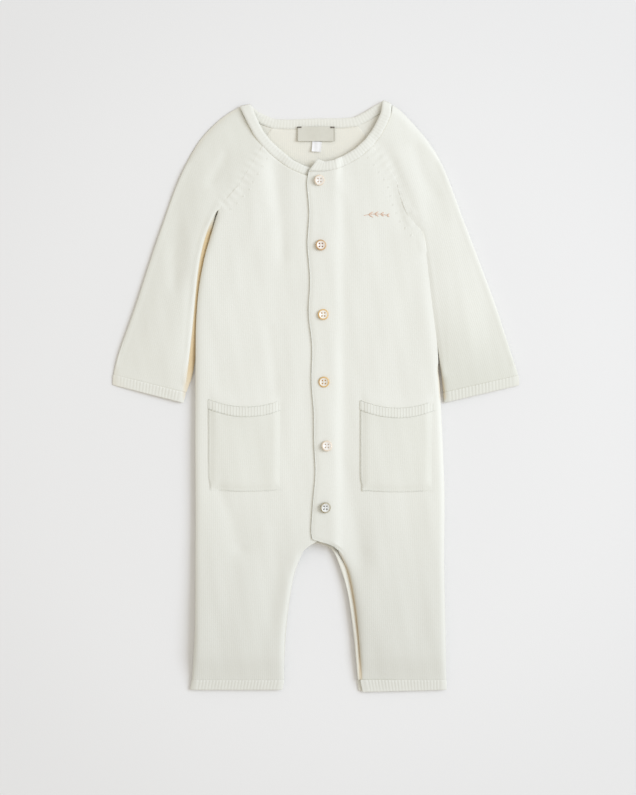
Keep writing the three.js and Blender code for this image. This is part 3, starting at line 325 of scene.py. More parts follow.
# Plain knit: upright wales of small V stitches with a light nap. turn lays the wales along a sleeve.
def makeKnit(name, turn=0.0, wale=knitLook["wale"], relief=knitLook["relief"], stitched=True, tint="colour",
             ends="body"):
    material, shader = newMaterial(name, roughness=0.92, sheen=0.12)
    add, math2 = nodeTools(material)
    place3d = add("ShaderNodeTexCoord").outputs["Object"]
    turned = add("ShaderNodeMapping", {"Vector": place3d, "Rotation": (0, 0, turn)})
    axes = add("ShaderNodeSeparateXYZ", {"Vector": turned.outputs[0]}).outputs
    height = add("ShaderNodeSeparateXYZ", {"Vector": place3d}).outputs[2]
    drift = add("ShaderNodeTexNoise", {"Vector": place3d, "Scale": 110.0, "Detail": 4.0, "Roughness": 0.6})
    wander = math2("MULTIPLY", drift.outputs["Fac"], 1.3)
    column = math2("ADD", math2("DIVIDE", axes[0], wale), wander)
    across = math2("ABSOLUTE", math2("SUBTRACT", math2("FRACT", column), 0.5))
    ridge = math2("POWER", math2("SUBTRACT", 1.0, math2("MULTIPLY", across, 2.0)), 0.6)
    row = math2("ADD", math2("DIVIDE", axes[1], knitLook["course"]), across)
    stitch = math2("ADD", math2("MULTIPLY", math2("SINE", math2("MULTIPLY", row, 2 * math.pi)), 0.5), 0.5)
    loops = math2("MULTIPLY", ridge, math2("ADD", math2("MULTIPLY", stitch, 0.35 if stitched else 0.1), 0.65))
    nap = add("ShaderNodeTexNoise", {"Vector": place3d, "Scale": 1500.0, "Detail": 3.0, "Roughness": 0.6})
    felt = add("ShaderNodeTexNoise", {"Vector": place3d, "Scale": 420.0, "Detail": 3.0, "Roughness": 0.65})
    light = math2("MULTIPLY", nap.outputs["Fac"], 0.6)
    fuzz = math2("ADD", light, math2("MULTIPLY", felt.outputs["Fac"], 1.1))
    surface = math2("ADD", math2("MULTIPLY", loops, 0.6), fuzz)
    bump = add("ShaderNodeBump", {"Strength": 0.22, "Distance": relief, "Height": surface})
    cloudy = add("ShaderNodeTexNoise", {"Vector": place3d, "Scale": 38.0, "Detail": 3.0})
    fleck = add("ShaderNodeTexNoise", {"Vector": place3d, "Scale": 620.0, "Detail": 2.0})
    clouds = math2("MULTIPLY", cloudy.outputs["Fac"], 0.35)
    mottle = math2("ADD", clouds, math2("MULTIPLY", fleck.outputs["Fac"], 1.1))
    # The loops paint shade between the wales; the mottle is random tone
    tone = math2("SUBTRACT", math2("ADD", math2("MULTIPLY", loops, 0.4), mottle), 0.32)
    yarn = add("ShaderNodeMix", data_type="RGBA")
    yarn.inputs[6].default_value = (*knitLook["hollow"], 1)
    yarn.inputs[7].default_value = (*knitLook[tint], 1)
    material.node_tree.links.new(tone, yarn.inputs[0])
    # Painted shade: low cloth and the marked cut edges are mixed towards the warm tan of bounced light
    low = add("ShaderNodeMapRange", {"Value": height, "From Min": -0.0004, "From Max": knitLook["deepUpTo"]})
    low.inputs["To Min"].default_value = knitLook["deepShare"]
    shadeMarks = add("ShaderNodeAttribute", attribute_name="paintedShade").outputs["Fac"]
    lit = math2("MINIMUM", low.outputs[0], math2("SUBTRACT", 1.0, shadeMarks))
    bounceShadeMix = add("ShaderNodeMix", data_type="RGBA")
    bounceShadeMix.inputs[6].default_value = (*knitLook["bounceShade"], 1)
    material.node_tree.links.new(lit, bounceShadeMix.inputs[0])
    material.node_tree.links.new(yarn.outputs[2], bounceShadeMix.inputs[7])
    # Painted shade: each piece is darkened and saturated along Y as the table gives
    start, stop, endShade, strength = knitLook["ends"][ends]
    along = add("ShaderNodeSeparateXYZ", {"Vector": place3d}).outputs[1]
    down = add("ShaderNodeMapRange", {"Value": along, "From Min": start, "From Max": stop})
    down.interpolation_type = "SMOOTHSTEP"
    down.inputs["To Min"].default_value = endShade
    strong = add(
        "ShaderNodeMapRange", {"Value": along, "From Min": start, "From Max": stop, "To Min": strength}
    )
    graded = add("ShaderNodeHueSaturation", {"Saturation": strong.outputs[0], "Value": down.outputs[0]})
    material.node_tree.links.new(bounceShadeMix.outputs[2], graded.inputs["Color"])
    material.node_tree.links.new(graded.outputs[0], shader.inputs["Base Color"])
    material.node_tree.links.new(bump.outputs[0], shader.inputs["Normal"])
    return material


sleeveTurn = {"right": math.radians(17.5), "left": math.radians(-17.5)}
knits = {
    "body": makeKnit("knit body"),
    "back": makeKnit("knit back", tint="inside"),
    "right": makeKnit("knit right sleeve", turn=sleeveTurn["right"], ends="right"),
    "left": makeKnit("knit left sleeve", turn=sleeveTurn["left"], ends="left"),
    "rib": makeKnit("knit rib", wale=0.0015, relief=0.0003, stitched=False, ends="rib"),
    "cuff": makeKnit("knit left cuff", wale=0.0015, relief=0.0003, stitched=False, ends="cuff"),
    "pocket": makeKnit("knit pocket", ends="pocket"),
    "band": makeKnit("knit band", wale=0.0015, relief=0.0003, stitched=False, ends="band"),
}
print("knits made")

# Cloth pieces. Each one is a shell on its solid's form, softened, then given its folds.


# Edges are kept crisp by their angle, in degrees. Those under "rim" roll over.
creased = {"from": 42, "over": 16, "rim": 50}


# The solid's own mesh, merged to whole faces, with its cut edges kept crisp
def shellOf(node, levels, edgeCrease, ribLift):
    bm = bmesh.new()
    bm.from_mesh(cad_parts[node].data)
    bmesh.ops.remove_doubles(bm, verts=bm.verts, dist=2e-6)
    bmesh.ops.join_triangles(
        bm, faces=bm.faces, angle_face_threshold=math.radians(38), angle_shape_threshold=math.pi
    )
    if ribLift:
        sharpenRibs(bm, ribLift)
    crease = bm.edges.layers.float.new("crease_edge")
    rims = []
    for edge in bm.edges:
        angle = math.degrees(edge.calc_face_angle(0))
        edge[crease] = edgeCrease * min(1.0, max(0.0, (angle - creased["from"]) / creased["over"]))
        if angle < creased["rim"]:
            rims += rimSpots(edge)
    mesh = bpy.data.meshes.new(node + "_cloth")
    bm.to_mesh(mesh)
    bm.free()
    piece = bpy.data.objects.new(node + "_cloth", mesh)
    scene.collection.objects.link(piece)
    soften = piece.modifiers.new("soften", "SUBSURF")
    soften.levels = soften.render_levels = levels
    applyModifiers(piece)
    piece.data.shade_smooth()
    return piece, rims


# Spots of an edge where the upper face rolls down into a side
def rimSpots(edge):
    if len(edge.link_faces) != 2:
        return []
    side, top = sorted(edge.link_faces, key=lambda face: face.normal.z)
    if top.normal.z < 0.35 or side.normal.z > 0.35:
        return []
    if top.calc_center_median().z < side.calc_center_median().z:
        return []
    ends = [Vector((vert.co.x, vert.co.y, 0)) for vert in edge.verts]
    steps = max(1, round((ends[1] - ends[0]).length / (0.5 * mm)))
    return [ends[0].lerp(ends[1], k / steps) for k in range(steps + 1)]


# Draws each rib's ridge up and its furrow down, so that they last through the softening
def sharpenRibs(bm, ribLift):
    moves = {}
    for vert in bm.verts:
        beside = [e.other_vert(vert) for e in vert.link_edges]
        level = [o for o in beside if 0.0001 < abs(o.co.z - vert.co.z) < 0.00062]
        if len(level) >= 2:
            average = sum(o.co.z for o in level) / len(level)
            moves[vert] = (vert.co.z - average) * ribLift
    for vert, move in moves.items():
        vert.co.z += move


def applyModifiers(piece):
    depsgraph = bpy.context.evaluated_depsgraph_get()
    made = bpy.data.meshes.new_from_object(piece.evaluated_get(depsgraph))
    piece.modifiers.clear()
    old = piece.data
    piece.data = made
    bpy.data.meshes.remove(old)


pockets = {
    "right": {"x": -63.3, "halfWidth": 34.2, "top": -3, "sag": 7},
    "left": {"x": 75.4, "halfWidth": 34, "top": -4, "sag": 7},
}
mouth = {"lift": 0.2, "depth": 13, "ramp": 1.7, "rampReach": 9, "under": 2.5}
pocketFoot = {"right": (-85, 6), "left": (-85.5, 6)}  # bottom edge and corner radius
corners = {"share": 0.55, "reach": 9}  # the lower corners are pulled nearly square


# The mouth of a pocket stands off the front, most at its middle
def mouthHeight(pocket, x, y):
    across = np.clip((x - pocket["x"]) / pocket["halfWidth"], -1, 1)
    below = pocket["top"] - pocket["sag"] * (1 - across**2) - y
    return mouth["lift"] * (1 - across**2) * np.exp(-((below / mouth["depth"]) ** 2))


# The front comes up to a pocket's mouth
def mouthRamp(pocket, x, y):
    across = np.clip((x - pocket["x"]) / (pocket["halfWidth"] - 1), -1, 1)
    above = y - pocket["top"] + pocket["sag"] * (1 - across**2)
    reach = np.where(above > 0, mouth["rampReach"], mouth["under"])
    return mouth["ramp"] * (1 - across**4) * np.exp(-((above / reach) ** 2))


# Line round the sewn sides and foot of a pocket
def pocketOutline(side):
    pocket = pockets[side]
    foot, corner = pocketFoot[side]
    left, right = pocket["x"] - pocket["halfWidth"], pocket["x"] + pocket["halfWidth"]
    return [
        (left, pocket["top"]), (left, foot + corner), (left + corner * 0.6, foot), (pocket["x"], foot - 1.5),
        (right - corner * 0.6, foot), (right, foot + corner), (right, pocket["top"]),
    ]


foldsStart = {"from": 0.0024, "to": 0.0052}  # cloth that lies on the floor stays flat
upperPart = {"from": 3.4, "over": 1.2}  # heights over which the levelling sets in
highPart = {"from": 3, "over": 3}  # heights over which a side comes to stand out
wallShade = {"bands": 0.15, "cloth": 0.3, "steep": 0.5}  # how much painted shade, a warm tan, the cut edges get


# How far the upper face is raised near its rim
def edgeRise(node, rims, spots, normals, x, y):
    tree = KDTree(len(rims))
    for k, rim in enumerate(rims):
        tree.insert(rim, k)
    tree.balance()
    rise = np.zeros(x.shape)
    for k in np.flatnonzero((normals[:, 2] > 0.02) & (spots[:, 2] > fullEdge["from"])):
        distance = tree.find((spots[k, 0], spots[k, 1], 0))[2] / mm
        rise[k] = max(0.0, 1 - distance / fullEdge["reach"]) ** 2
    rise *= fullEdge["rise"] * np.clip(
        (spots[:, 2] - fullEdge["from"]) / (fullEdge["to"] - fullEdge["from"]), 0, 1
    )
    rise *= np.interp(y, fullEdge["y"], fullEdge["share"])
    if node == "front_right":
        rise *= 1 + np.interp(y, bodySide["y"], bodySide["fuller"]) * (x < bodySide["upTo"])
    if node == "front_left":
        distance, _ = alongLine(x, y, lappedEdge)
        rise *= np.clip((distance - fullEdge["lapFrom"]) / fullEdge["lapOver"], 0, 1)
    return rise


# Moves the points of a shell: fills or thins its edges, closes its seams and lays the folds in it
def layFolds(piece, node, close, rims):
    side = node.split("_")[-1]
    count = len(piece.data.vertices)
    spots = np.zeros(count * 3)
    normals = np.zeros(count * 3)
    piece.data.vertices.foreach_get("co", spots)
    piece.data.vertices.foreach_get("normal", normals)
    spots = spots.reshape(-1, 3)
    normals = normals.reshape(-1, 3)
    x = spots[:, 0] / mm - patternShift[0]
    y = spots[:, 1] / mm - patternShift[1]
    if node.startswith(("front", "sleeve")):
        spots[:, 2] += edgeRise(node, rims, spots, normals, x, y) * mm
    spots[:, 2] *= flatShare(node, x, y)
    upperFace = np.clip((normals[:, 2] + 0.1) * 4, 0, 1)
    inward = np.full(count, float(close))
    for line in raglans:
        distance, travelled = alongLine(x, y, line)
        near = np.exp(-((distance / level["reach"]) ** 2)) * np.clip(travelled / level["neck"], 0, 1)
        if node.startswith(("front", "sleeve")):
            over = np.clip((spots[:, 2] / mm - upperPart["from"]) / upperPart["over"], 0, 1) * upperFace
            spots[:, 2] += (level["height"] * mm - spots[:, 2]) * level["share"] * near * over
            inward += level["close"] * np.exp(-((distance / level["closeReach"]) ** 2))
    for line in closedSeams:
        if node.startswith(("back", "sleeve", "front")):
            distance, _ = alongLine(x, y, line)
            inward += level["close"] * np.exp(-((distance / level["closeReach"]) ** 2))
    if node in ("front_left", "neckband"):
        distance, _ = alongLine(x, y, lappedEdge)
        thin = thinEdge["lap"] * np.exp(-((distance / thinEdge["lapReach"]) ** 2))
        thin += thinEdge["lapRim"] * np.exp(-((distance / thinEdge["rimReach"]) ** 2))
        spots[:, 2] -= thin * mm * upperFace
    if node.startswith("pocket"):
        distance, _ = alongLine(x, y, pocketOutline(side))
        spots[:, 2] -= thinEdge["pocket"] * mm * upperFace
        sunny = np.clip((x - pockets[side]["x"]) / pockets[side]["halfWidth"] * 3 - 2, 0, 1)
        reach = thinEdge["sewnReach"] + (thinEdge["sunnyReach"] - thinEdge["sewnReach"]) * sunny
        sewn = thinEdge["sewnIn"] * np.exp(-((distance / reach) ** 2))
        sewn *= 1 + thinEdge["sunnySide"] * sunny
        across = np.clip((x - pockets[side]["x"]) / pockets[side]["halfWidth"], -1, 1)
        below = pockets[side]["top"] - pockets[side]["sag"] * (1 - across**2) - y
        sewn += thinEdge["mouth"] * (1 - across**4) * np.exp(-((below / thinEdge["mouthReach"]) ** 2))
        spots[:, 2] -= sewn * mm
        foot, radius = pocketFoot[side]
        for way in (-1, 1):
            fromSide = np.abs(pockets[side]["halfWidth"] - way * (x - pockets[side]["x"]))
            fromFoot = np.abs(y - foot)
            pullX = np.clip(radius - fromFoot, 0, radius) * np.exp(-((fromSide / corners["reach"]) ** 2))
            pullY = np.clip(radius - fromSide, 0, radius) * np.exp(-((fromFoot / corners["reach"]) ** 2))
            spots[:, 0] += way * pullX * corners["share"] * mm
            spots[:, 1] -= pullY * corners["share"] * mm
    spots[:, :2] += normals[:, :2] * inward[:, None] * mm
    if node == "front_left":
        distance = np.hypot(x - crotchCorner["x"], y - crotchCorner["y"])
        spots[:, 0] -= crotchCorner["in"] * mm * np.exp(-((distance / crotchCorner["reach"]) ** 2))
    if node in ("front_right", "back"):
        inside = np.abs(x - np.interp(y, bodySide["y"], bodySide["x"]))
        out = np.interp(y, bodySide["y"], bodySide["out"]) * np.clip(1 - inside / bodySide["reach"], 0, 1)
        spots[:, 0] -= out * np.clip((spots[:, 2] / mm - highPart["from"]) / highPart["over"], 0, 1) * mm
    if node == "sleeve_right":
        inside = np.interp(y, sleeveSlope["y"], sleeveSlope["x"]) - x
        out = np.interp(y, sleeveSlope["y"], sleeveSlope["out"], left=0, right=0)
        out *= np.clip(1 - np.abs(inside) / sleeveSlope["reach"], 0, 1)
        out *= np.clip((sleeveSlope["top"] - spots[:, 2] / mm) / sleeveSlope["depth"], 0, 1)
        spots[:, 0] += out * mm
    if node == "back":
        distance, _ = alongLine(x, y, inseamCurl["line"])
        spots[:, 2] += inseamCurl["rise"] * mm * np.exp(-((distance / inseamCurl["reach"]) ** 2))
    if node in ("sleeve_left", "front_left"):
        distance, _ = alongLine(x, y, innerFold["line"])
        lower = np.clip((y - innerFold["from"]) / innerFold["over"], 0, 1)
        near = np.clip((y - innerFold["levelFrom"]) / innerFold["levelOver"], 0, 1)
        near *= np.exp(-((distance / innerFold["levelReach"]) ** 2)) * innerFold["share"]
        over = np.clip((spots[:, 2] / mm - upperPart["from"]) / upperPart["over"], 0, 1) * upperFace
        spots[:, 2] += (innerFold["height"] * mm - spots[:, 2]) * near * over
        if node == "sleeve_left":
            near = lower * np.exp(-((distance / innerFold["sleeveReach"]) ** 2))
            spots[:, 0] -= innerFold["sleeveIn"] * mm * near
            spots[:, 2] -= innerFold["sleeveDown"] * mm * near * upperFace
        else:
            near = lower * np.exp(-((distance / innerFold["bodyReach"]) ** 2))
            high = np.clip((spots[:, 2] / mm - highPart["from"]) / highPart["over"], 0, 1)
            spots[:, 0] += innerFold["bodyOut"] * mm * near * high
            spots[:, 2] += innerFold["bodyUp"] * mm * near * upperFace
    share = np.clip((spots[:, 2] - foldsStart["from"]) / (foldsStart["to"] - foldsStart["from"]), 0, 1)
    share = share * share * (3 - 2 * share)
    rise = foldHeight(x, y) * share
    if node.startswith("pocket"):
        rise += mouthHeight(pockets[side], x, y)
    if node.startswith("front"):
        rise += mouthRamp(pockets[side], x, y) * upperFace * (spots[:, 2] > 5 * mm)
    spots[:, 2] += rise * mm
    piece.data.vertices.foreach_set("co", spots.reshape(-1))
    piece.data.update()
    # cut edges and the places listed in bounced get painted shade, a warm tan, because light reaches them
    # only from the cloth beside them
    paintedShade = piece.data.attributes.new("paintedShade", "FLOAT", "POINT")
    shadeShare = wallShade["bands"] if node.startswith(("pocket", "cuff", "hem")) else wallShade["cloth"]
    shadeAmount = np.clip(1 - np.abs(normals[:, 2]) / wallShade["steep"], 0, 1) * shadeShare
    for names, line, reach, top, strength in bounced:
        if node.split("_")[0] not in names:
            continue
        distance, _ = alongLine(x, y, line)
        near = np.clip(bounceFade["full"] - distance / reach, 0, 1)
        near *= np.clip((top - spots[:, 2] / mm) / bounceFade["depth"], 0, 1)
        near *= np.clip((underarm["from"] - y) / underarm["over"], 0, 1)
        shadeAmount = np.maximum(shadeAmount, near * strength)
    paintedShade.data.foreach_set("value", shadeAmount)


# Each piece: its knit, how often it is halved, the crispness of its edges, the lift of its ribs,
# how far its cut edges are drawn to their seams, in millimetres, and its slot
cloth = {
    "back": ("back", 2, 0.85, 0, 0.24, "knit"),
    "front_right": ("body", 3, 0.85, 0, 0.24, "knit"),
    "front_left": ("body", 3, 0.85, 0, 0.24, "knit"),
    "sleeve_right": ("right", 3, 0.85, 0, 0.24, "knit"),
    "sleeve_left": ("left", 3, 0.85, 0, 0.24, "knit"),
    "neckband": ("rib", 2, 0.85, 0.0, 0.55, "rib"),
    "cuff_right": ("rib", 3, 0.8, 0.3, 0.5, "rib"),
    "cuff_left": ("cuff", 3, 0.8, 0.3, 0.5, "rib"),
    "hem_right": ("rib", 3, 0.8, 0.3, 0.5, "rib"),
    "hem_left": ("rib", 3, 0.8, 0.3, 0.5, "rib"),
    "pocket_right": ("pocket", 3, 0.6, 0, 0.25, "knit"),
    "pocket_left": ("pocket", 3, 0.6, 0, 0.25, "knit"),
    "pocket_band_right": ("band", 3, 0.6, 0.15, 0.5, "rib"),
    "pocket_band_left": ("band", 3, 0.6, 0.15, 0.5, "rib"),
}
pieces = {}
for node, (knit, levels, edgeCrease, ribLift, close, slot) in cloth.items():
    piece, rims = shellOf(node, levels, edgeCrease, ribLift)
    layFolds(piece, node, close, rims)
    piece.data.materials.clear()
    piece.data.materials.append(knits[knit])
    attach(piece, "root")
    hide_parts(node)
    pieces[node] = piece
print("cloth laid out")


# Buttons

buttons = [
    {"x": 3.2, "y": 197.6, "leanX": 5, "leanY": 15, "shell": "pale"},
    {"x": 4.7, "y": 138.1, "leanX": -5, "leanY": 8, "shell": "brown"},
    {"x": 6.9, "y": 74.8, "leanX": -2, "leanY": 6, "shell": "golden"},
    {"x": 7.8, "y": 13.3, "leanX": 4, "leanY": -7, "shell": "golden"},
    {"x": 10.1, "y": -45.3, "leanX": -6, "leanY": 10, "shell": "pale"},
    {"x": 8.7, "y": -101.4, "leanX": 4, "leanY": 14, "shell": "grey"},
]
buttonForm = {
    "profile": [(0, 0.5), (2.4, 0.5), (4.2, 0.25), (4.8, 0.7), (5.0, 1.3), (4.8, 1.9), (4.3, 2.25),
                (3.7, 2.2), (3.1, 1.85), (2.6, 1.6), (0, 1.5)],
    "steps": 48,
    "rimFrom": 3.9,
    "holeRadius": 0.7,
    "holeOffset": 1.35,
    "threadHeight": 0.95,
    "sunkIn": 0.8,
}
shells = {
    "golden": {"face": (0.90, 0.88, 0.82), "streak": (0.84, 0.78, 0.67), "rim": (0.68, 0.43, 0.15),
               "rimStreak": (0.78, 0.56, 0.28), "thread": "golden"},
    "brown": {"face": (0.88, 0.85, 0.80), "streak": (0.80, 0.72, 0.62), "rim": (0.52, 0.31, 0.12),
              "rimStreak": (0.66, 0.45, 0.25), "thread": "brown"},
    "pale": {"face": (0.85, 0.83, 0.78), "streak": (0.78, 0.73, 0.66), "rim": (0.74, 0.62, 0.48),
             "rimStreak": (0.78, 0.69, 0.58), "thread": "beige"},
    "grey": {"face": (0.82, 0.83, 0.81), "streak": (0.62, 0.62, 0.58), "rim": (0.33, 0.28, 0.16),
             "rimStreak": (0.50, 0.46, 0.36), "thread": "dark"},
}


# Shell with faint swirled layers, and a coat that shines
def makePearl(name, face, streak, roughness):
    material, shader = newMaterial(name, roughness=roughness, coat=0.3)
    add, math2 = nodeTools(material)
    spot = add("ShaderNodeTexCoord").outputs["Object"]
    bend = add("ShaderNodeTexNoise", {"Vector": spot, "Scale": 140.0, "Detail": 2.0})
    layers = math2("SINE", math2("MULTIPLY", bend.outputs["Fac"], 34.0))
    tone = add("ShaderNodeMix", data_type="RGBA")
    tone.inputs[6].default_value = (*face, 1)
    tone.inputs[7].default_value = (*streak, 1)
    material.node_tree.links.new(math2("MULTIPLY", math2("ADD", layers, 1.0), 0.4), tone.inputs[0])
    material.node_tree.links.new(tone.outputs[2], shader.inputs["Base Color"])
    scratch = add("ShaderNodeTexNoise", {"Vector": spot, "Scale": 2600.0, "Detail": 2.0})
    bump = add("ShaderNodeBump", {"Strength": 0.08, "Distance": 0.0001, "Height": scratch.outputs["Fac"]})
    material.node_tree.links.new(bump.outputs[0], shader.inputs["Normal"])
    return material


# Twisted sewing thread
def makeThread(name, light, dark, twist=2100.0):
    material, shader = newMaterial(name, roughness=0.7, sheen=0.2)
    add, math2 = nodeTools(material)
    spot = add("ShaderNodeTexCoord").outputs["Object"]
    plies = add(
        "ShaderNodeTexWave", {"Vector": spot, "Scale": twist, "Distortion": 1.5}, bands_direction="DIAGONAL"
    )
    tone = add("ShaderNodeMix", data_type="RGBA")
    tone.inputs[6].default_value = (*dark, 1)
    tone.inputs[7].default_value = (*light, 1)
    material.node_tree.links.new(plies.outputs["Fac"], tone.inputs[0])
    material.node_tree.links.new(tone.outputs[2], shader.inputs["Base Color"])
    bump = add("ShaderNodeBump", {"Strength": 0.3, "Distance": 0.0001, "Height": plies.outputs["Fac"]})
    material.node_tree.links.new(bump.outputs[0], shader.inputs["Normal"])
    return material


threads = {
    "golden": makeThread("golden thread", (0.72, 0.40, 0.09), (0.55, 0.28, 0.05)),
    "brown": makeThread("brown thread", (0.40, 0.14, 0.05), (0.25, 0.08, 0.03)),
    "beige": makeThread("beige thread", (0.66, 0.50, 0.38), (0.56, 0.42, 0.31)),
    "dark": makeThread("dark thread", (0.16, 0.13, 0.08), (0.08, 0.07, 0.04)),
    "motif": makeThread("motif thread", (0.80, 0.58, 0.45), (0.68, 0.45, 0.33)),
    "tack": makeThread("tack thread", (0.20, 0.17, 0.14), (0.10, 0.085, 0.07)),
    "yarn": makeThread("yarn", knitLook["colour"], knitLook["hollow"], 900.0),
}


def newPiece(name, bm, materials):
    mesh = bpy.data.meshes.new(name)
    bm.to_mesh(mesh)
    bm.free()
    piece = bpy.data.objects.new(name, mesh)
    scene.collection.objects.link(piece)
    for material in materials:
        mesh.materials.append(material)
    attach(piece, "root")
    return piece


# Height of the uppermost cloth at a spot of the pattern, in metres
surfaces = [BVHTree.FromObject(piece, bpy.context.evaluated_depsgraph_get()) for piece in pieces.values()]


def clothHeight(x, y):
    start = place(x, y, 60)
    hits = [tree.ray_cast(start, Vector((0, 0, -1))) for tree in surfaces]
    return max((hit[0].z for hit in hits if hit[0] is not None), default=0.0)


def makeButton(node, x, y, leanX, leanY, shell):
    form = buttonForm
    bm = bmesh.new()
    rim = [bm.verts.new((radius * mm, 0, height * mm)) for radius, height in form["profile"]]
    line = [bm.edges.new(pair) for pair in zip(rim, rim[1:])]
    bmesh.ops.spin(
        bm, geom=rim + line, axis=(0, 0, 1), cent=(0, 0, 0), angle=2 * math.pi,
        steps=form["steps"], use_merge=True,
    )
    bmesh.ops.remove_doubles(bm, verts=bm.verts, dist=1e-6)
    bmesh.ops.recalc_face_normals(bm, faces=bm.faces)
    for face in bm.faces:
        centre = face.calc_center_median()
        face.material_index = 1 if math.hypot(centre.x, centre.y) > form["rimFrom"] * mm else 0
    button = newPiece(
        node + "_disc",
        bm,
        [makePearl(node + " face", shells[shell]["face"], shells[shell]["streak"], 0.3),
         makePearl(node + " rim", shells[shell]["rim"], shells[shell]["rimStreak"], 0.4)],
    )
    drill = bmesh.new()
    plugs = bmesh.new()
    for holeX in (-1, 1):
        for holeY in (-1, 1):
            at = Matrix.Translation(Vector((holeX, holeY, 0)) * form["holeOffset"] * mm)
            bmesh.ops.create_cone(
                drill, cap_ends=True, segments=20, radius1=form["holeRadius"] * mm,
                radius2=form["holeRadius"] * mm, depth=6 * mm, matrix=at,
            )
            bmesh.ops.create_uvsphere(
                plugs, u_segments=12, v_segments=8, radius=form["holeRadius"] * 0.97 * mm,
                matrix=at @ Matrix.Translation((0, 0, form["threadHeight"] * mm)),
            )
    drillMesh = bpy.data.meshes.new("drill")
    drill.to_mesh(drillMesh)
    drill.free()
    cutter = bpy.data.objects.new("drill", drillMesh)
    scene.collection.objects.link(cutter)
    cut = button.modifiers.new("holes", "BOOLEAN")
    cut.object = cutter
    cut.solver = "EXACT"
    applyModifiers(button)
    bpy.data.objects.remove(cutter)
    thread = newPiece(node + "_thread", plugs, [threads[shells[shell]["thread"]]])
    lean = Matrix.Rotation(math.radians(leanY), 4, "Y") @ Matrix.Rotation(math.radians(leanX), 4, "X")
    lowest = 0.0
    for k in range(24):
        for radius in (2.0, 4.2):
            turn = 2 * math.pi * k / 24
            foot = lean @ Vector((radius * math.cos(turn), radius * math.sin(turn), 0.25)) * mm
            under = clothHeight(x + foot.x / mm, y + foot.y / mm)
            lowest = max(lowest, under - foot.z)
    seat = Matrix.Translation(place(x, y) + Vector((0, 0, lowest - form["sunkIn"] * mm))) @ lean
    for piece in (button, thread):
        piece.data.transform(seat)
        piece.data.shade_smooth()
    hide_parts(node)
    return [button, thread]


sewnOn = []
for number, spot in enumerate(buttons, 1):
    sewnOn += makeButton(f"button_{number}", **spot)
print("buttons made")


# Labels, both bare

labelForm = {
    "neck_label": {"x": 0.6, "y": 240.6, "width": 34.2, "depth": 13.6, "lean": 0.0, "curl": 0.9,
                   "slot": "label"},
    "size_tab": {"x": 1.0, "y": 228.9, "width": 8.6, "depth": 9.6, "lean": -4.0, "curl": 1.6,
                 "slot": "size_tab"},
}


# Close satin weave with a firmer selvedge
def makeSatin(name, light, dark, edge, halfWidth):
    material, shader = newMaterial(name, roughness=0.62, sheen=0.15)
    add, math2 = nodeTools(material)
    spot = add("ShaderNodeTexCoord").outputs["Object"]
    axes = add("ShaderNodeSeparateXYZ", {"Vector": spot}).outputs
    warp = math2("SINE", math2("MULTIPLY", axes[0], 2 * math.pi / 0.0005))
    slant = math2("ADD", axes[1], math2("MULTIPLY", axes[0], 0.5))
    weft = math2("SINE", math2("MULTIPLY", slant, 2 * math.pi / 0.0006))
    weave = math2("ADD", math2("MULTIPLY", math2("ADD", warp, weft), 0.25), 0.5)
    cloud = add("ShaderNodeTexNoise", {"Vector": spot, "Scale": 300.0, "Detail": 2.0})
    tone = add("ShaderNodeMix", data_type="RGBA")
    tone.inputs[6].default_value = (*dark, 1)
    tone.inputs[7].default_value = (*light, 1)
    mixed = math2("ADD", math2("MULTIPLY", weave, 0.5), math2("MULTIPLY", cloud.outputs["Fac"], 0.5))
    material.node_tree.links.new(mixed, tone.inputs[0])
    fromEnd = math2("SUBTRACT", halfWidth, math2("ABSOLUTE", axes[0]))
    selvedge = add("ShaderNodeMapRange", {"Value": fromEnd, "From Min": 0.0004, "From Max": 0.0013})
    border = add("ShaderNodeMix", data_type="RGBA")
    border.inputs[6].default_value = (*edge, 1)
    material.node_tree.links.new(selvedge.outputs[0], border.inputs[0])
    material.node_tree.links.new(tone.outputs[2], border.inputs[7])
    material.node_tree.links.new(border.outputs[2], shader.inputs["Base Color"])
    bump = add("ShaderNodeBump", {"Strength": 0.25, "Distance": 0.0001, "Height": weave})
    material.node_tree.links.new(bump.outputs[0], shader.inputs["Normal"])
    return material


satins = {
    "neck_label": makeSatin(
        "label satin", (0.70, 0.69, 0.61), (0.60, 0.59, 0.51), (0.50, 0.48, 0.40), 0.0171
    ),
    "size_tab": makeSatin("tab satin", (0.90, 0.90, 0.90), (0.80, 0.80, 0.80), (0.84, 0.84, 0.84), 0.0043),
}


def makeLabel(node, x, y, width, depth, lean, curl, slot):
    low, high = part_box(node)
    bm = bmesh.new()
    bmesh.ops.create_grid(bm, x_segments=28, y_segments=16, size=0.5)
    for vert in bm.verts:
        across, down = vert.co.x * 2, 0.5 - vert.co.y
        lift = curl * down**2 * (0.55 + 0.45 * across**2) + 0.12 * math.sin(5 * across + 1)
        vert.co = Vector((vert.co.x * width * mm, vert.co.y * depth * mm, lift * mm))
    label = newPiece(node + "_cloth", bm, [satins[node]])
    body = label.modifiers.new("body", "SOLIDIFY")
    body.thickness = 0.45 * mm
    body.offset = 0
    soften = label.modifiers.new("soften", "BEVEL")
    soften.width = 0.12 * mm
    soften.segments = 2
    applyModifiers(label)
    turn = Matrix.Rotation(math.radians(lean), 4, "Z")
    label.data.transform(Matrix.Translation(place(x, y, 0) + Vector((0, 0, low.z + 0.3 * mm))) @ turn)
    label.data.shade_smooth()
    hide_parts(node)
    pieces[node] = label


for node, form in labelForm.items():
    makeLabel(node, **form)
surfaces += [
    BVHTree.FromObject(pieces[node], bpy.context.evaluated_depsgraph_get()) for node in labelForm
]

# Hand sewing. Each stitch is a short fat strand that lies on the cloth.


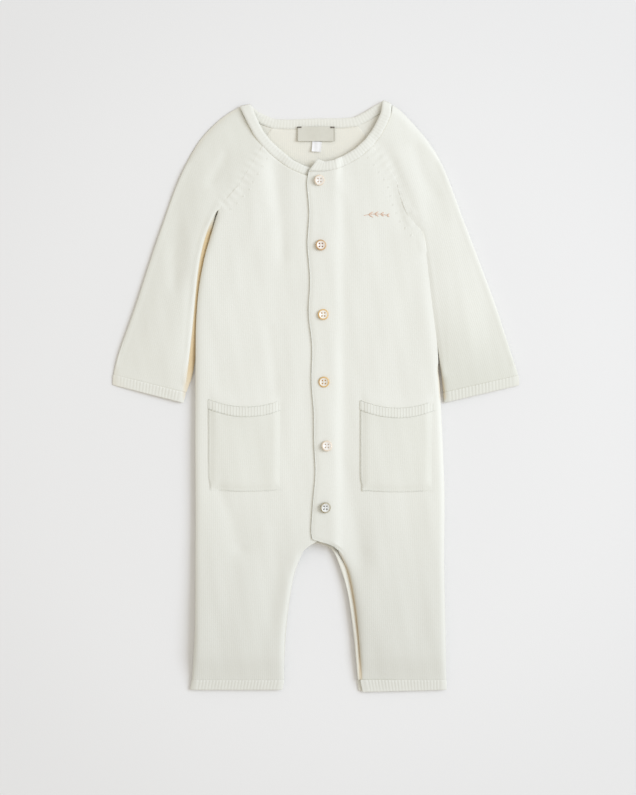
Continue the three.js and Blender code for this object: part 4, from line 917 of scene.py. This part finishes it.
def addStitch(bm, x1, y1, x2, y2, thick, sink=0.3):
    middleX, middleY = (x1 + x2) / 2, (y1 + y2) / 2
    length = math.hypot(x2 - x1, y2 - y1)
    rise = max(clothHeight(x1, y1), clothHeight(x2, y2), clothHeight(middleX, middleY))
    slope = math.atan2(clothHeight(x1, y1) - clothHeight(x2, y2), length * mm)
    at = Matrix.Translation(place(middleX, middleY) + Vector((0, 0, rise + thick * (0.5 - sink) * mm)))
    turn = Matrix.Rotation(math.atan2(y2 - y1, x2 - x1), 4, "Z") @ Matrix.Rotation(slope, 4, "Y")
    size = Matrix.Diagonal((length * mm, thick * mm, thick * mm, 1))
    bmesh.ops.create_icosphere(bm, subdivisions=2, radius=0.5, matrix=at @ turn @ size)


# A small sprig on the chest: a bowed stem with four pairs of leaves that get shorter to the tip
sprig = {"from": 44, "to": 67, "y": 166.0, "bow": 1.6, "stem": 11, "pairs": 4, "first": 0.2,
         "leaf": 4.2, "tip": 2.4, "spread": 2.6, "thread": 0.55}


def makeSprig():
    bm = bmesh.new()
    span = sprig["to"] - sprig["from"]

    def stem(share):
        return sprig["from"] + span * share, sprig["y"] + sprig["bow"] * (4 * share * (1 - share) - 0.5)

    for k in range(sprig["stem"]):
        addStitch(bm, *stem(k / sprig["stem"]), *stem((k + 1.1) / sprig["stem"]), sprig["thread"])
    for k in range(sprig["pairs"]):
        share = k / (sprig["pairs"] - 1)
        leaf = sprig["leaf"] + (sprig["tip"] - sprig["leaf"]) * share
        rootX, rootY = stem(sprig["first"] + (0.92 - sprig["first"]) * share)
        for side in (-1, 1):
            tipX, tipY = rootX + leaf, rootY + side * sprig["spread"] * leaf / sprig["leaf"]
            addStitch(bm, rootX, rootY + 0.2 * side, tipX, tipY, sprig["thread"] * 1.5)
    motif = newPiece("chest_sprig", bm, [threads["motif"]])
    motif.data.shade_smooth()
    return motif


# Bars of dark thread that hold the label at its two upper corners
tacks = {"places": [(-14.9, 247.0, 0.8), (15.7, 246.9, -1.4)], "length": 4.6, "rows": 3, "pitch": 0.42,
         "thread": 0.5}


def makeTacks():
    bm = bmesh.new()
    half = tacks["length"] / 2
    for x, y, tilt in tacks["places"]:
        for row in range(tacks["rows"]):
            down = y - row * tacks["pitch"]
            addStitch(bm, x - half, down - tilt * 0.12, x, down, tacks["thread"], sink=0.1)
            addStitch(bm, x - 0.3, down, x + half, down + tilt * 0.12, tacks["thread"], sink=0.1)
    bars = newPiece("label_tacks", bm, [threads["tack"]])
    bars.data.shade_smooth()
    return bars


# Narrowing stitches: pairs of raised loops in a line beside each raglan seam
marks = {"inside": 8.5, "pitch": 8.2, "first": 9, "length": 2.8, "thread": 0.8, "sink": 0.72}


def makeMarks():
    bm = bmesh.new()
    for line, side in zip(raglans, (1, -1)):
        travelled = marks["first"]
        before = 0.0
        for (ax, ay), (bx, by) in zip(line, line[1:]):
            length = math.hypot(bx - ax, by - ay)
            while travelled < before + length:
                share = (travelled - before) / length
                x = ax + (bx - ax) * share + side * marks["inside"]
                y = ay + (by - ay) * share - 2
                addStitch(bm, x - 0.5, y - marks["length"], x - 0.2, y, marks["thread"], sink=marks["sink"])
                addStitch(
                    bm, x + 0.9, y - marks["length"] * 0.9, x + 0.5, y + 0.1, marks["thread"],
                    sink=marks["sink"],
                )
                travelled += marks["pitch"]
            before += length
    loops = newPiece("raglan_marks", bm, [threads["yarn"]])
    loops.data.shade_smooth()
    return loops


motif = makeSprig()
bars = makeTacks()
loops = makeMarks()
print("labels and hand sewing made")


# The floor and the light

stage = {
    "half": 2.2,
    "colour": (0.812, 0.812, 0.808),
    "fall": (0.24, 0.46, 0.955),  # painted shade: the sheet is a little darker away from its middle, standing in for light that falls off towards the edges of the view
    "key": {"energy": 146, "size": 3.0, "at": (3.70, 0.95, 3.15), "colour": (0.91, 1.00, 1.15)},
    "sky": {"strength": 0.72, "colour": (1.0, 0.955, 0.885)},
}


def makeFloor():
    bm = bmesh.new()
    bmesh.ops.create_grid(bm, x_segments=2, y_segments=2, size=stage["half"])
    mesh = bpy.data.meshes.new("floor")
    bm.to_mesh(mesh)
    bm.free()
    floor = bpy.data.objects.new("floor", mesh)
    scene.collection.objects.link(floor)
    material, shader = newMaterial("floor cloth", roughness=0.95)
    add, math2 = nodeTools(material)
    spot = add("ShaderNodeTexCoord").outputs["Object"]
    apart = add("ShaderNodeVectorMath", {0: spot}, operation="LENGTH").outputs["Value"]
    start, stop, tone = stage["fall"]
    fall = add("ShaderNodeMapRange", {"Value": apart, "From Min": start, "From Max": stop})
    fall.interpolation_type = "SMOOTHSTEP"
    fall.inputs["To Min"].default_value = 1.0
    fall.inputs["To Max"].default_value = tone
    graded = add("ShaderNodeHueSaturation", {"Value": fall.outputs[0], "Color": (*stage["colour"], 1)})
    material.node_tree.links.new(graded.outputs[0], shader.inputs["Base Color"])
    grain = add("ShaderNodeTexNoise", {"Vector": spot, "Scale": 900.0, "Detail": 2.0})
    bump = add("ShaderNodeBump", {"Strength": 0.12, "Distance": 0.0004, "Height": grain.outputs["Fac"]})
    material.node_tree.links.new(bump.outputs[0], shader.inputs["Normal"])
    floor.data.materials.append(material)


def makeLight(name, energy, size, at, colour):
    lamp = bpy.data.lights.new(name, "AREA")
    lamp.energy = energy
    lamp.size = size
    lamp.color = colour
    holder = bpy.data.objects.new(name, lamp)
    holder.location = at
    holder.rotation_euler = (-Vector(at)).to_track_quat("-Z", "Y").to_euler()
    scene.collection.objects.link(holder)


makeFloor()
makeLight("key", **stage["key"])
world = scene.world or bpy.data.worlds.new("sky")
scene.world = world
world.use_nodes = True
sky = world.node_tree.nodes["Background"]
sky.inputs["Color"].default_value = (*stage["sky"]["colour"], 1)
sky.inputs["Strength"].default_value = stage["sky"]["strength"]
print("floor and light set")
